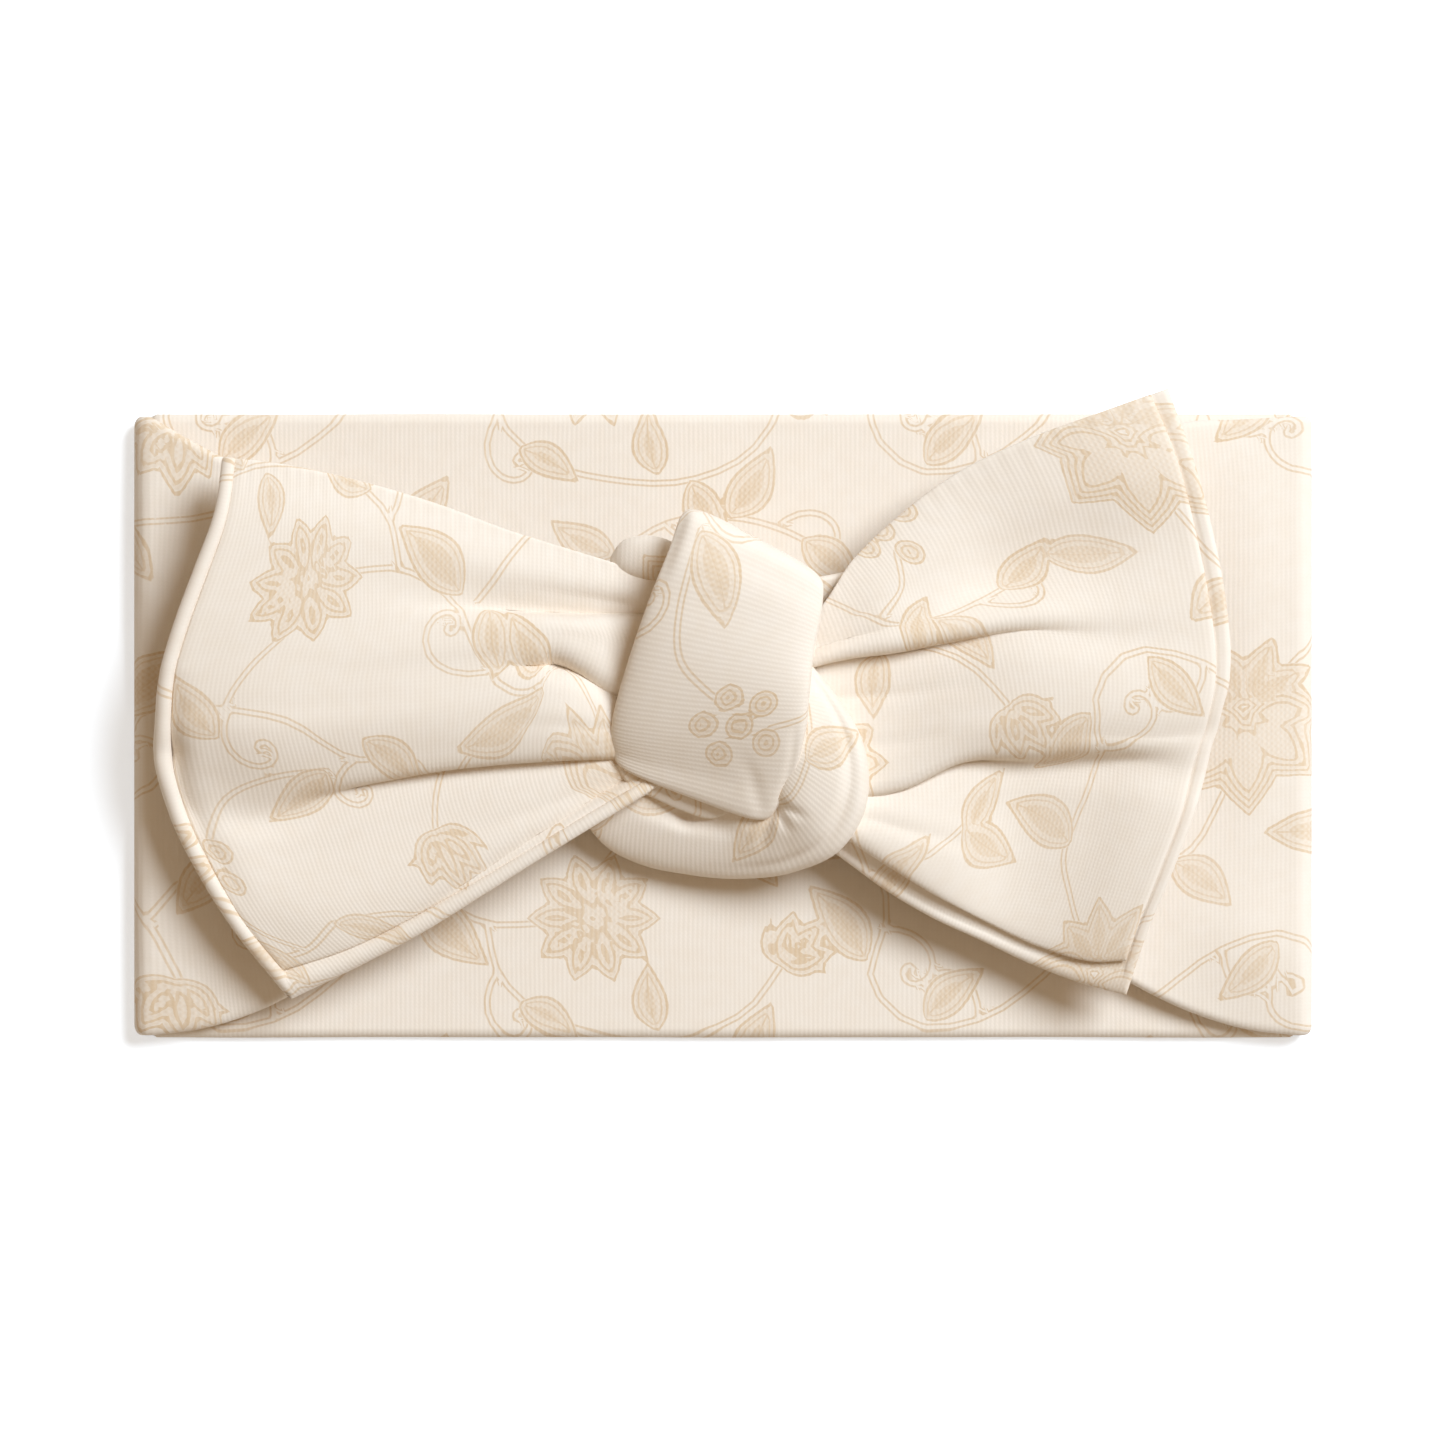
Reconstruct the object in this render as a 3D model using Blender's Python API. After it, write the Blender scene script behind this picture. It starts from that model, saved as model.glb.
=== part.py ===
"""Knotted headband for a baby, lying flat: a wide loop of double jersey whose front half is gathered under a tie
knotted once round it, with the tie's two wide ends spread to the left and right as a bow.

Frame: metres, +Z up, the loop lies on Z = 0, X along the flattened loop, Y across its width, and the origin under
the middle of the loop. Lengths below are in millimetres until an object is made, which turns them into metres.
"""

import math

import bpy
import numpy as np
from mathutils import Vector

MM = 0.001

# Driving dimensions
LOOP_LENGTH = 190.0  # the flattened loop, from side fold to side fold
LOOP_WIDTH = 100.0  # across the band
CLOTH = 0.6  # one layer of jersey
LAYER_PITCH = 1.7  # from the middle of the outer cloth to the middle of its lining
CLEARANCE = 0.3  # between pieces that are free of each other
HEAD_GAP = 0.6  # between the two halves of the loop while it lies flat
THREAD_RADIUS = 0.25
SEAM_INSET = 1.2  # from a panel's edge to its line of stitching

# The middle of each layer's cloth, above the table
BACK_OUTER_Z = CLOTH / 2
BACK_LINING_Z = BACK_OUTER_Z + LAYER_PITCH
FRONT_LINING_Z = BACK_LINING_Z + CLOTH + HEAD_GAP
FRONT_OUTER_Z = FRONT_LINING_Z + LAYER_PITCH

# The side folds, and the front half between them and the knot
OUTER_FOLD_RADIUS = (FRONT_OUTER_Z - BACK_OUTER_Z) / 2
LINING_FOLD_RADIUS = (FRONT_LINING_Z - BACK_LINING_Z) / 2
FOLD_CENTRE_X = LOOP_LENGTH / 2 - CLOTH / 2 - OUTER_FOLD_RADIUS
FRONT_START_X = FOLD_CENTRE_X - CLEARANCE
KNOT_ENTRY_X = 20.5
KNOT_ENTRY_Z = 9.9  # the outer cloth's level where it enters the knot
PLEATS = 3
PLEAT_DEPTH = 1.1

# The gathered cloth inside the knot
CORE_MIDDLE_Y = 2.0
CORE_MIDDLE_Z = 9.2
CORE_HALF_WIDTH = 13.6
CORE_HALF_THICKNESS = 1.7
CORE_RIDGES = 6
CORE_RIDGE_SHARE = 0.12

# The creases where the ends of the tie can fold up, on top of the pleats
LEFT_CREASE_X = -22.0
RIGHT_CREASE_X = 27.0
CREASE_Z = 19.0
NECK_THICKNESS = 2.0
WRAP_THICKNESS = 3.0
BACK_PASS_THICKNESS = 2.4

JERSEY = (0.90, 0.84, 0.74)
LINING = (0.88, 0.80, 0.68)
THREAD = (0.86, 0.77, 0.62)


def clear_scene():
    for obj in list(bpy.data.objects):
        bpy.data.objects.remove(obj, do_unlink=True)


def material(name, colour, roughness):
    made = bpy.data.materials.new(name)
    made.use_nodes = True
    shader = made.node_tree.nodes["Principled BSDF"]
    shader.inputs["Base Color"].default_value = (*colour, 1.0)
    shader.inputs["Roughness"].default_value = roughness
    shader.inputs["Metallic"].default_value = 0.0
    return made


def pivot(name, place, parent=None):
    """An empty that carries one moving body, on that body's joint axis. `place` is in the loop's own frame."""
    empty = bpy.data.objects.new(name, None)
    bpy.context.scene.collection.objects.link(empty)
    empty.parent = parent
    empty.location = Vector(place) * MM - place_of(parent)
    return empty


def place_of(empty):
    """Where an empty sits in the loop's own frame, in metres."""
    place = Vector((0, 0, 0))
    while empty:
        place += empty.location
        empty = empty.parent
    return place


def link(name, data, carrier, cloth):
    obj = bpy.data.objects.new(name, data)
    data.materials.append(cloth)
    obj.parent = carrier
    bpy.context.scene.collection.objects.link(obj)
    return obj


def through(points, count):
    """`count` points of a smooth curve that passes through `points`, evenly spread over its spans."""
    points = np.asarray(points, float)
    first = 2 * points[0] - points[1]
    last = 2 * points[-1] - points[-2]
    padded = np.vstack([first, points, last])
    at = np.linspace(0, len(points) - 1, count)
    span = np.minimum(at.astype(int), len(points) - 2)
    u = (at - span)[:, None]
    p0, p1, p2, p3 = (padded[span + k] for k in range(4))
    bend = 2 * p0 - 5 * p1 + 4 * p2 - p3
    twist = 3 * p1 - p0 - 3 * p2 + p3
    return 0.5 * (2 * p1 + (p2 - p0) * u + bend * u**2 + twist * u**3)


def loft(rails, along, across):
    """A grid of points, `across` by `along`, on the smooth surface through the rails."""
    sampled = np.array([through(rail, along) for rail in rails])
    columns = np.array([through(sampled[:, k], across) for k in range(along)])
    return columns.transpose(1, 0, 2)


def local_points(points, carrier):
    place = np.array(place_of(carrier))
    return np.asarray(points, float).reshape(-1, 3) * MM - place


def mesh_object(name, points, faces, carrier, cloth):
    mesh = bpy.data.meshes.new(name)
    mesh.from_pydata(local_points(points, carrier).tolist(), [], faces)
    mesh.shade_smooth()
    return link(name, mesh, carrier, cloth)


def sheet(name, grid, thickness, carrier, cloth, raised=0.0, inward=False):
    """A closed sheet of cloth over a grid of points, facing up. `raised` lifts it along its own normal."""
    rows, columns, _ = grid.shape
    down, right = grid[1:, :-1] - grid[:-1, :-1], grid[:-1, 1:] - grid[:-1, :-1]
    faces_up = np.cross(down, right)[..., 2].sum() > 0
    faces = []
    for i in range(rows - 1):
        for j in range(columns - 1):
            a = i * columns + j
            quad = [a, a + columns, a + columns + 1, a + 1]
            faces.append(quad if faces_up else quad[::-1])
    obj = mesh_object(name, grid, faces, carrier, cloth)
    if raised:
        lift = obj.modifiers.new("Raise", "DISPLACE")
        lift.mid_level = 0.0
        lift.strength = raised * MM
    thicken = obj.modifiers.new("Thickness", "SOLIDIFY")
    thicken.thickness = thickness * MM
    thicken.offset = -1.0 if inward else 0.0
    thicken.use_even_offset = True
    return obj


def cord(name, path, radii, carrier, cloth, roundness=1):
    """A closed cord along a path: a bevelled curve. `radii` is one radius, or one for each point of the path."""
    curve = bpy.data.curves.new(name, "CURVE")
    curve.dimensions = "3D"
    curve.bevel_depth = MM
    curve.bevel_resolution = roundness
    curve.use_fill_caps = True
    spline = curve.splines.new("POLY")
    spline.points.add(len(path) - 1)
    places = local_points(path, carrier)
    for point, place, radius in zip(spline.points, places, np.broadcast_to(radii, len(path)), strict=True):
        point.co = (*place, 1.0)
        point.radius = radius
    return link(name, curve, carrier, cloth)


def rolled(name, path, radii, count, carrier, cloth, roundness):
    """A smooth roll of cloth, of changing thickness, through the given points."""
    along = through(path, count)
    sizes = through(np.column_stack([radii, radii]), count)[:, 0]
    return cord(name, along, sizes, carrier, cloth, roundness)


def half_turn(side, radius, low, steps):
    """Points of a side fold, from the back half up to the front half, in the XZ plane."""
    angles = [math.pi * (k / steps - 0.5) for k in range(steps + 1)]
    middle = low + radius
    return [(side * (FOLD_CENTRE_X + radius * math.cos(a)), middle + radius * math.sin(a)) for a in angles]


def back_layer(name, radius, low, cloth):
    """One layer of the back half with its two side folds: a bent strip that lies flat on the table side."""
    steps = 6
    profile = half_turn(-1, radius, low, steps)[::-1] + half_turn(1, radius, low, steps)
    half = LOOP_WIDTH / 2
    grid = np.array([[(x, y, z) for x, z in profile] for y in (half, -half)])
    return sheet(name, grid, CLOTH, None, cloth)


def band_back(cloth, lining, thread):
    """The back half of the loop, which stays on the table."""
    back_layer("band_back_outer", OUTER_FOLD_RADIUS, BACK_OUTER_Z, cloth)
    back_layer("band_back_lining", LINING_FOLD_RADIUS, BACK_LINING_Z, lining)
    between = (BACK_OUTER_Z + BACK_LINING_Z) / 2
    seam_y = LOOP_WIDTH / 2 - SEAM_INSET
    for label, y in (("upper", seam_y), ("lower", -seam_y)):
        path = [(x, y, between) for x in (-FRONT_START_X, 0, FRONT_START_X)]
        cord(f"band_back_{label}_seam_thread", path, THREAD_RADIUS, None, thread)


def front_grid(side, upper, lower, shift):
    """One side of the front half: full width at the side fold, drawn together into pleats at the knot."""
    along, across = 13, 13
    top, bottom = through(upper, along), through(lower, along)
    grid = np.zeros((across, along, 3))
    for j in range(along):
        near = j / (along - 1)
        rise = near * near * (3 - 2 * near)
        level = FRONT_OUTER_Z + (KNOT_ENTRY_Z - FRONT_OUTER_Z) * rise + shift
        for i in range(across):
            t = i / (across - 1)
            x, y = top[j] + (bottom[j] - top[j]) * t
            wave = PLEAT_DEPTH * near**2 * math.cos(2 * math.pi * PLEATS * t)
            grid[i, j] = (side * x, y, level + wave)
    return grid


def edge_threads(prefix, middle, edges, carrier, cloth):
    """Stitching between two panels, a little inside the named edges of the surface midway between them."""
    lines = {
        "upper": (middle[0], middle[1]),
        "lower": (middle[-1], middle[-2]),
        "end": (middle[1:-1, -1], middle[1:-1, -2]),
    }
    for edge in edges:
        outermost, next_in = lines[edge]
        path = outermost + (next_in - outermost) * 0.2
        if edge == "lower" and "end" in edges:
            path = path[1:-1]
        cord(f"{prefix}_{edge}_seam_thread", path, THREAD_RADIUS, carrier, cloth)


def band_front(label, upper, lower, carrier, cloth, lining, thread):
    side = -1 if label == "left" else 1
    name = f"band_front_{label}"
    sheet(name + "_outer", front_grid(side, upper, lower, 0), CLOTH, carrier, cloth)
    sheet(name + "_lining", front_grid(side, upper, lower, -LAYER_PITCH), CLOTH, carrier, lining)
    middle = front_grid(side, upper, lower, -LAYER_PITCH / 2)
    edge_threads(name, middle, ("upper", "lower"), carrier, thread)


def gathered_core(carrier, cloth):
    """The front half's cloth where it is bunched inside the knot: a ridged bundle that runs along X."""
    reach = KNOT_ENTRY_X - CLEARANCE
    sides, rings = 24, 5
    points = []
    for x in np.linspace(-reach, reach, rings):
        for k in range(sides):
            a = 2 * math.pi * k / sides
            ridge = 1 + CORE_RIDGE_SHARE * math.cos(CORE_RIDGES * a)
            y = CORE_MIDDLE_Y + CORE_HALF_WIDTH * ridge * math.cos(a)
            z = CORE_MIDDLE_Z + CORE_HALF_THICKNESS * ridge * math.sin(a)
            points.append((x, y, z))
    faces = [list(range(sides))[::-1], list(range((rings - 1) * sides, rings * sides))]
    for ring in range(rings - 1):
        for k in range(sides):
            a, b = ring * sides + k, ring * sides + (k + 1) % sides
            faces.append([a, b, b + sides, a + sides])
    return mesh_object("band_gathered_core", points, faces, carrier, cloth)


def knot(carrier, cloth, thread):
    """The tie knotted once round the gathered front: behind it, over its front, and round below to the right."""
    behind = [
        [(x, 20.5, 9.5), (x, 18.2, 5.2), (x, 9, 4.6), (x, -6, 4.6), (x, -14.0, 5.2), (x, -16.6, 9.5)]
        for x in (-6.5, 2.5, 11.5)
    ]
    sheet("tie_back_pass", loft(behind, 14, 3), BACK_PASS_THICKNESS, carrier, cloth)
    cord("knot_tack_thread", [(2, 15, 6.75), (2, 2, 6.65), (2, -10, 6.75)], THREAD_RADIUS, carrier, thread)

    wrap = [
        [(-4, 23, 15), (-6, 31.5, 17), (-6.5, 33.5, 20), (-9, 27, 23), (-14, 12, 24.5), (-17.5, 1, 23), (-17, -5, 20)],
        [(1, 21.5, 15), (0.5, 28.5, 17), (0, 30.5, 21), (-3, 23.5, 26), (-8, 9, 28), (-11, -4, 27), (-9, -10, 23.5)],
        [(5, 20, 15), (8, 24.5, 17), (8, 26, 21), (5, 18, 26.5), (2, 6, 28), (0, -8, 27), (2, -14.5, 25.5)],
        [(9, 18.5, 16), (14, 19.5, 17), (15, 19.5, 19.5), (15, 13, 23), (13, 4, 24.5), (11, -7, 25), (9, -13.5, 25)],
    ]
    sheet("knot_front_wrap", loft(wrap, 19, 11), WRAP_THICKNESS, carrier, cloth, inward=True)

    roll = [
        (-19, -16.5, 17.2),
        (-11, -19, 18),
        (-1, -19.8, 18.2),
        (8, -18.6, 18.4),
        (15, -14.5, 18.8),
        (18.4, -7.5, 19.3),
        (17.8, -0.5, 19.2),
        (14.5, 6, 17.5),
    ]
    radii = [2.0, 3.2, 3.8, 4.2, 4.4, 4.2, 3.2, 2.0]
    rolled("knot_lower_roll", roll, radii, 24, carrier, cloth, 5)
    strand = [(-6, 5, 18.4), (0, 4, 19.6), (8, 3.5, 18.4)]
    rolled("knot_crossing_strand", strand, [2.2, 3.2, 2.2], 7, carrier, cloth, 4)


def neck(name, inner, rails, crease_x, carrier, cloth):
    """Where one end of the tie leaves the knot: both its layers pleated together, up to the crease."""
    edge = crease_x - math.copysign(CLEARANCE, crease_x)
    outer = [(edge, rail[0][1], rail[0][2]) for rail in rails]
    paths = []
    for a, b in zip(inner, outer, strict=True):
        middle = ((a[0] + b[0]) / 2, (a[1] + b[1]) / 2, 0.65 * a[2] + 0.35 * b[2])
        paths.append([a, middle, b])
    sheet(name, loft(paths, 6, 15), NECK_THICKNESS, carrier, cloth)


def tail(prefix, rails, carrier, cloth, lining, thread):
    """One end of the tie: a front panel and a back panel, joined by seams along the end and the lower edge."""
    grid = loft(rails, 10, 17)
    sheet(prefix + "_front_panel", grid, CLOTH, carrier, cloth, raised=LAYER_PITCH / 2)
    sheet(prefix + "_back_panel", grid, CLOTH, carrier, lining, raised=-LAYER_PITCH / 2)
    edge_threads(prefix, grid, ("end", "lower"), carrier, thread)


def left_end(knot_body, cloth, lining, thread):
    """Each rail runs outwards from the crease, and the rails go from the upper edge to the lower edge."""
    x = LEFT_CREASE_X - CLEARANCE
    rails = [
        [(x, 28, 13.2), (-50, 37.5, 13), (-79.4, 42.7, 15)],
        [(x, 19, 15.8), (-52, 23, 16.2), (-84.5, 22, 17.6)],
        [(x, 4, 17), (-56, 1, 17.4), (-91.1, -3.9, 15.6)],
        [(x, -4, 14), (-55, -9, 13), (-89, -13, 13.6)],
        [(x, -11, 13.8), (-50, -22, 12.8), (-80, -28.5, 13)],
        [(x, -17.6, 12.8), (-43, -31.5, 11.2), (-67.3, -43.4, 10.8)],
    ]
    inner = [(-8, 19, 13.9), (-8, 14, 14.1), (-8, 5, 14.1), (-8, -1, 13.9), (-8, -5, 13.9), (-8, -9, 13.9)]
    neck("left_neck", inner, rails, LEFT_CREASE_X, knot_body, cloth)
    crease = pivot("left_tail_crease", (LEFT_CREASE_X, 0, CREASE_Z), knot_body)
    tail("left_tail", rails, crease, cloth, lining, thread)


def right_end(knot_body, cloth, lining, thread):
    """As the left end, mirrored in direction but with rails of its own: it reaches past the band's upper edge."""
    x = RIGHT_CREASE_X + CLEARANCE
    rails = [
        [(x, 30.5, 13.4), (48, 44, 12.2), (71.2, 52.9, 10.4)],
        [(x, 22, 15.2), (50, 29, 14.6), (75.5, 36, 12.4)],
        [(x, 12, 14), (50, 16, 13.2), (79, 17, 12.2)],
        [(x, 3, 16.2), (52, 3, 16.2), (80.8, 4, 13)],
        [(x, -8, 13.8), (52, -7, 12.6), (79, -7, 11.2)],
        [(x, -15, 13.8), (50, -20, 12), (75, -24, 10.8)],
        [(x, -22.5, 12.4), (46, -31.5, 10.6), (67.1, -42.2, 9.2)],
    ]
    levels = [(17.5, 13.9), (13, 14.1), (8, 13.9), (3, 14.1), (-3, 13.7), (-8, 13.4), (-12, 13.2)]
    inner = [(16.5, y, z) for y, z in levels]
    neck("right_neck", inner, rails, RIGHT_CREASE_X, knot_body, cloth)
    crease = pivot("right_tail_crease", (RIGHT_CREASE_X, 0, CREASE_Z), knot_body)
    tail("right_tail", rails, crease, cloth, lining, thread)


def main():
    clear_scene()
    cloth = material("jersey", JERSEY, 0.9)
    lining = material("jersey_lining", LINING, 0.9)
    thread = material("sewing_thread", THREAD, 0.7)
    half = LOOP_WIDTH / 2
    band_back(cloth, lining, thread)

    knot_body = pivot("front_half", (0, 0, KNOT_ENTRY_Z))
    left_upper = [(FRONT_START_X, half), (79, 43), (50, 32), (KNOT_ENTRY_X, 17)]
    left_lower = [(FRONT_START_X, -half), (67, -44), (42, -27), (KNOT_ENTRY_X, -12)]
    band_front("left", left_upper, left_lower, knot_body, cloth, lining, thread)
    right_upper = [(FRONT_START_X, half), (75, 49), (50, 38), (KNOT_ENTRY_X, 18)]
    right_lower = [(FRONT_START_X, -half), (67, -43.5), (42, -28), (KNOT_ENTRY_X, -13)]
    band_front("right", right_upper, right_lower, knot_body, cloth, lining, thread)
    gathered_core(knot_body, cloth)

    knot(knot_body, cloth, thread)
    left_end(knot_body, cloth, lining, thread)
    right_end(knot_body, cloth, lining, thread)


main()
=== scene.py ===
"""Looks of the knotted headband: cream interlock jersey with a tonal trailing print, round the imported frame.

Lengths are in millimetres until a mesh is made. Each sheet of cloth is a grid of points through a few rails,
and each roll of the knot a tube through a few sections. Every point carries its place on the flat cloth, so
that ribs and print follow the folds.
"""

import math

import bpy
import numpy as np
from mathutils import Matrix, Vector


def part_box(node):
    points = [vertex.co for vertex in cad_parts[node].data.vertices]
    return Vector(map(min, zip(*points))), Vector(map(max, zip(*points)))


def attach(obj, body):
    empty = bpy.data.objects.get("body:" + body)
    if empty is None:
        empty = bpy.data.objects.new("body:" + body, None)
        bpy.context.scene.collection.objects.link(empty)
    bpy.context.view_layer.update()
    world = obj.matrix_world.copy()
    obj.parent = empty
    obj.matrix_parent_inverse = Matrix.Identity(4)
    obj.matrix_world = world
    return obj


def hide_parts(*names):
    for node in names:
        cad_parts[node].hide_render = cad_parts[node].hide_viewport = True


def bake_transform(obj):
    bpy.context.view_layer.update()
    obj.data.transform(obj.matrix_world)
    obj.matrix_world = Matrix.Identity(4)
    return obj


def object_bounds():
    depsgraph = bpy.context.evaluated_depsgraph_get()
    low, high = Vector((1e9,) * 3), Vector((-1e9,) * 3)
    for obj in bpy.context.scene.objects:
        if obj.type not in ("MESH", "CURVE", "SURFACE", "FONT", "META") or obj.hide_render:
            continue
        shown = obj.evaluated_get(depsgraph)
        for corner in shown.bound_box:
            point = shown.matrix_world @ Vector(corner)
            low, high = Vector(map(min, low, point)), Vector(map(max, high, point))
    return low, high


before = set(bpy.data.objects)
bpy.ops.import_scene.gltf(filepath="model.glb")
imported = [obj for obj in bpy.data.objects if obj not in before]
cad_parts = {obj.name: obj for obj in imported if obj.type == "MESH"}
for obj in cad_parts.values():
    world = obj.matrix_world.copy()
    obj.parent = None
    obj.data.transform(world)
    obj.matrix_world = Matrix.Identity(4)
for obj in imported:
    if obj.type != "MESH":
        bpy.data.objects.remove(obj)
cad_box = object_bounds()

MM = 0.001


# ---------------- places taken from the frame


def top_corner(node):
    """A CAD node's highest corner, in millimetres."""
    return np.array(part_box(node)[1]) / MM


# The back half's outer cloth turns up at the side folds, as high as the front half's top face.
HALF_LENGTH, HALF_WIDTH, FRONT_TOP = top_corner("band_back_outer")
BACK_TOP = 2.3  # the back half's top face: two layers of jersey on the table
HALF_BAND = BACK_TOP / 2  # half the thickness of either half of the loop
FOLD_RADIUS = (FRONT_TOP - BACK_TOP) / 2
FOLD_X = HALF_LENGTH - HALF_BAND - FOLD_RADIUS
SIGN = {"left": -1, "right": 1}


# ---------------- smooth surfaces


def chord_knots(points):
    """Knots along the first axis of `points`, as far apart as its rows are on average."""
    gaps = np.linalg.norm(np.diff(points, axis=0), axis=-1)
    gaps = gaps.reshape(len(gaps), -1).mean(axis=1)
    return np.concatenate([[0.0], np.cumsum(gaps)])


def smooth(knots, values, at):
    """The smooth curve through `values` at `knots`, read at the places `at`."""
    slopes = np.empty_like(values)
    rises = np.diff(values, axis=0)
    widths = np.diff(knots).reshape((-1,) + (1,) * (values.ndim - 1))
    rates = rises / widths
    slopes[1:-1] = (rates[:-1] * widths[1:] + rates[1:] * widths[:-1]) / (widths[1:] + widths[:-1])
    slopes[0], slopes[-1] = rates[0], rates[-1]
    span = np.clip(np.searchsorted(knots, at, side="right") - 1, 0, len(knots) - 2)
    shape = (-1,) + (1,) * (values.ndim - 1)
    width = (knots[span + 1] - knots[span]).reshape(shape)
    u = ((at - knots[span]).reshape(shape)) / width
    start, end = values[span], values[span + 1]
    out = (2 * u**3 - 3 * u**2 + 1) * start + (3 * u**2 - 2 * u**3) * end
    out += (u**3 - 2 * u**2 + u) * slopes[span] * width
    out += (u**3 - u**2) * slopes[span + 1] * width
    return out


# How far the first rows of points lie from an edge that has a rim.
EDGE_STEPS = np.array([0.0, 0.05, 0.18, 0.36, 0.6, 0.9, 1.2, 1.5, 1.8, 2.1, 2.5, 3.0, 3.6])


def spread(length, pitch, fine_start=False, fine_end=False):
    """Places along a length, `pitch` apart, and much closer beside an edge that has a rim."""
    start = EDGE_STEPS if fine_start else np.array([0.0])
    end = length - EDGE_STEPS[::-1] if fine_end else np.array([length])
    low, high = start[-1], end[0]
    count = max(int(round((high - low) / pitch)), 2)
    return np.concatenate([start, np.linspace(low, high, count + 1)[1:-1], end])


def surface(rails, pitch, fine_end):
    """(grid, across, along): the smooth surface through the rails, and where its rows and columns lie."""
    rails = np.asarray(rails, float)
    along_knots = chord_knots(rails.transpose(1, 0, 2))
    across_knots = chord_knots(rails)
    along = spread(along_knots[-1], pitch, False, fine_end)
    across = spread(across_knots[-1], pitch, True, True)
    sampled = smooth(along_knots, rails.transpose(1, 0, 2), along)
    grid = smooth(across_knots, sampled.transpose(1, 0, 2), across)
    return grid, across, along


def grid_normals(grid):
    """Unit normals of a grid of points, on the side that faces up over most of it."""
    down = np.gradient(grid, axis=0)
    right = np.gradient(grid, axis=1)
    normals = np.cross(down, right)
    normals /= np.maximum(np.linalg.norm(normals, axis=-1, keepdims=True), 1e-9)
    return normals if normals[..., 2].sum() > 0 else -normals


def press(points, path, depth, width, share=1.0):
    """Pushes points down along a path drawn on them, by `depth` at its start and less towards its end."""
    path = np.asarray(path, float)
    nearest = np.full(points.shape[:-1], np.inf)
    fade = np.zeros(points.shape[:-1])
    for k, (start, end) in enumerate(zip(path[:-1], path[1:], strict=True)):
        span = end - start
        along = np.clip((points[..., :2] - start) @ span / (span @ span), 0, 1)
        gap = np.linalg.norm(points[..., :2] - start - along[..., None] * span, axis=-1)
        fade = np.where(gap < nearest, (k + along) / (len(path) - 1), fade)
        nearest = np.minimum(nearest, gap)
    points[..., 2] -= depth * share * (1 - fade**2) * np.exp(-((nearest / width) ** 2))


def arc_places(grid, anchor_row):
    """(u, v) on the flat cloth for each point: true lengths along the anchor row and across from it."""
    row = grid[anchor_row]
    u = np.concatenate([[0.0], np.cumsum(np.linalg.norm(np.diff(row, axis=0), axis=-1))])
    steps = np.linalg.norm(np.diff(grid, axis=0), axis=-1)
    v = np.concatenate([np.zeros((1, grid.shape[1])), np.cumsum(steps, axis=0)])
    v = v - v[anchor_row]
    return np.dstack([np.broadcast_to(u, v.shape), v])


# ---------------- the print, as distances on the flat cloth

REPEAT = np.array([132.0, 104.0])  # the print repeats after this much of its drawing
PRINT_SCALE = 1.16  # millimetres of the drawing to each millimetre of cloth
NOWHERE = 9.0  # a distance in the drawing that no line or fill reaches
LEAF_BEND = 0.12  # a leaf bows out to one side by this share of its width
STEM_STEPS = 18
CURL_STEPS = 16


class Ink:
    """Distances from points of the flat cloth to the shapes of the print, kept as the nearest so far."""

    def __init__(self, places):
        self.places = places
        count = len(places)
        self.petal = np.full(count, NOWHERE)
        self.vein = np.full(count, NOWHERE)
        self.stem = np.full(count, NOWHERE)
        self.stem_side = np.full(count, NOWHERE)

    def near(self, centre):
        """Offsets from the nearest repeat of `centre`."""
        return (self.places - centre + REPEAT / 2) % REPEAT - REPEAT / 2

    def keep_petal(self, distance, vein):
        closer = distance < self.petal
        self.petal = np.where(closer, distance, self.petal)
        self.vein = np.where(closer, vein, self.vein)

    def leaf(self, base, angle, length, width, bend=0.0, fullness=0.75, veined=True):
        """A pointed leaf or petal that starts at `base` and points along `angle`, in degrees."""
        a = math.radians(angle)
        axis = np.array([math.cos(a), math.sin(a)])
        offset = self.near(np.asarray(base, float) + axis * length / 2)
        along = offset @ axis + length / 2
        beside = offset @ np.array([-axis[1], axis[0]])
        share = np.clip(along / length, 0, 1)
        beside = beside - bend * 4 * share * (1 - share) * width
        half = width / 2 * np.sin(math.pi * share**fullness)
        inside = (np.abs(beside) - half) * 0.86  # the outline slants, so its true distance is shorter
        beyond = np.maximum(-along, along - length)
        distance = np.where(beyond > 0, np.hypot(beyond, beside), inside)
        self.keep_petal(distance, beside if veined else NOWHERE)

    def berry(self, centre, radius):
        offset = self.near(np.asarray(centre, float))
        self.keep_petal(np.linalg.norm(offset, axis=1) - radius, NOWHERE)

    def line(self, points):
        """A stem or a tendril along a polyline."""
        points = np.asarray(points, float)
        offset = self.near(points.mean(axis=0))
        points = points - points.mean(axis=0)
        for start, end in zip(points[:-1], points[1:], strict=True):
            span = end - start
            share = np.clip((offset - start) @ span / (span @ span), 0, 1)
            gap = offset - start - share[:, None] * span
            distance = np.linalg.norm(gap, axis=1)
            side = np.sign(gap @ np.array([-span[1], span[0]]))
            closer = distance < self.stem
            self.stem = np.where(closer, distance, self.stem)
            self.stem_side = np.where(closer, distance * side, self.stem_side)

    def stem_through(self, points):
        points = np.asarray(points, float)
        knots = chord_knots(points)
        self.line(smooth(knots, points, np.linspace(0, knots[-1], STEM_STEPS)))

    def tendril(self, base, angle, size, turn):
        """A stem that leaves along `angle` and curls up into a spiral; `turn` is +1 or -1."""
        points = [np.asarray(base, float)]
        heading = math.radians(angle)
        for k in range(CURL_STEPS):
            step = size * 0.36 * (1 - k / (CURL_STEPS + 1))
            heading += turn * math.radians(12 + 2.6 * k)
            points.append(points[-1] + step * np.array([math.cos(heading), math.sin(heading)]))
        self.line(points)


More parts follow.
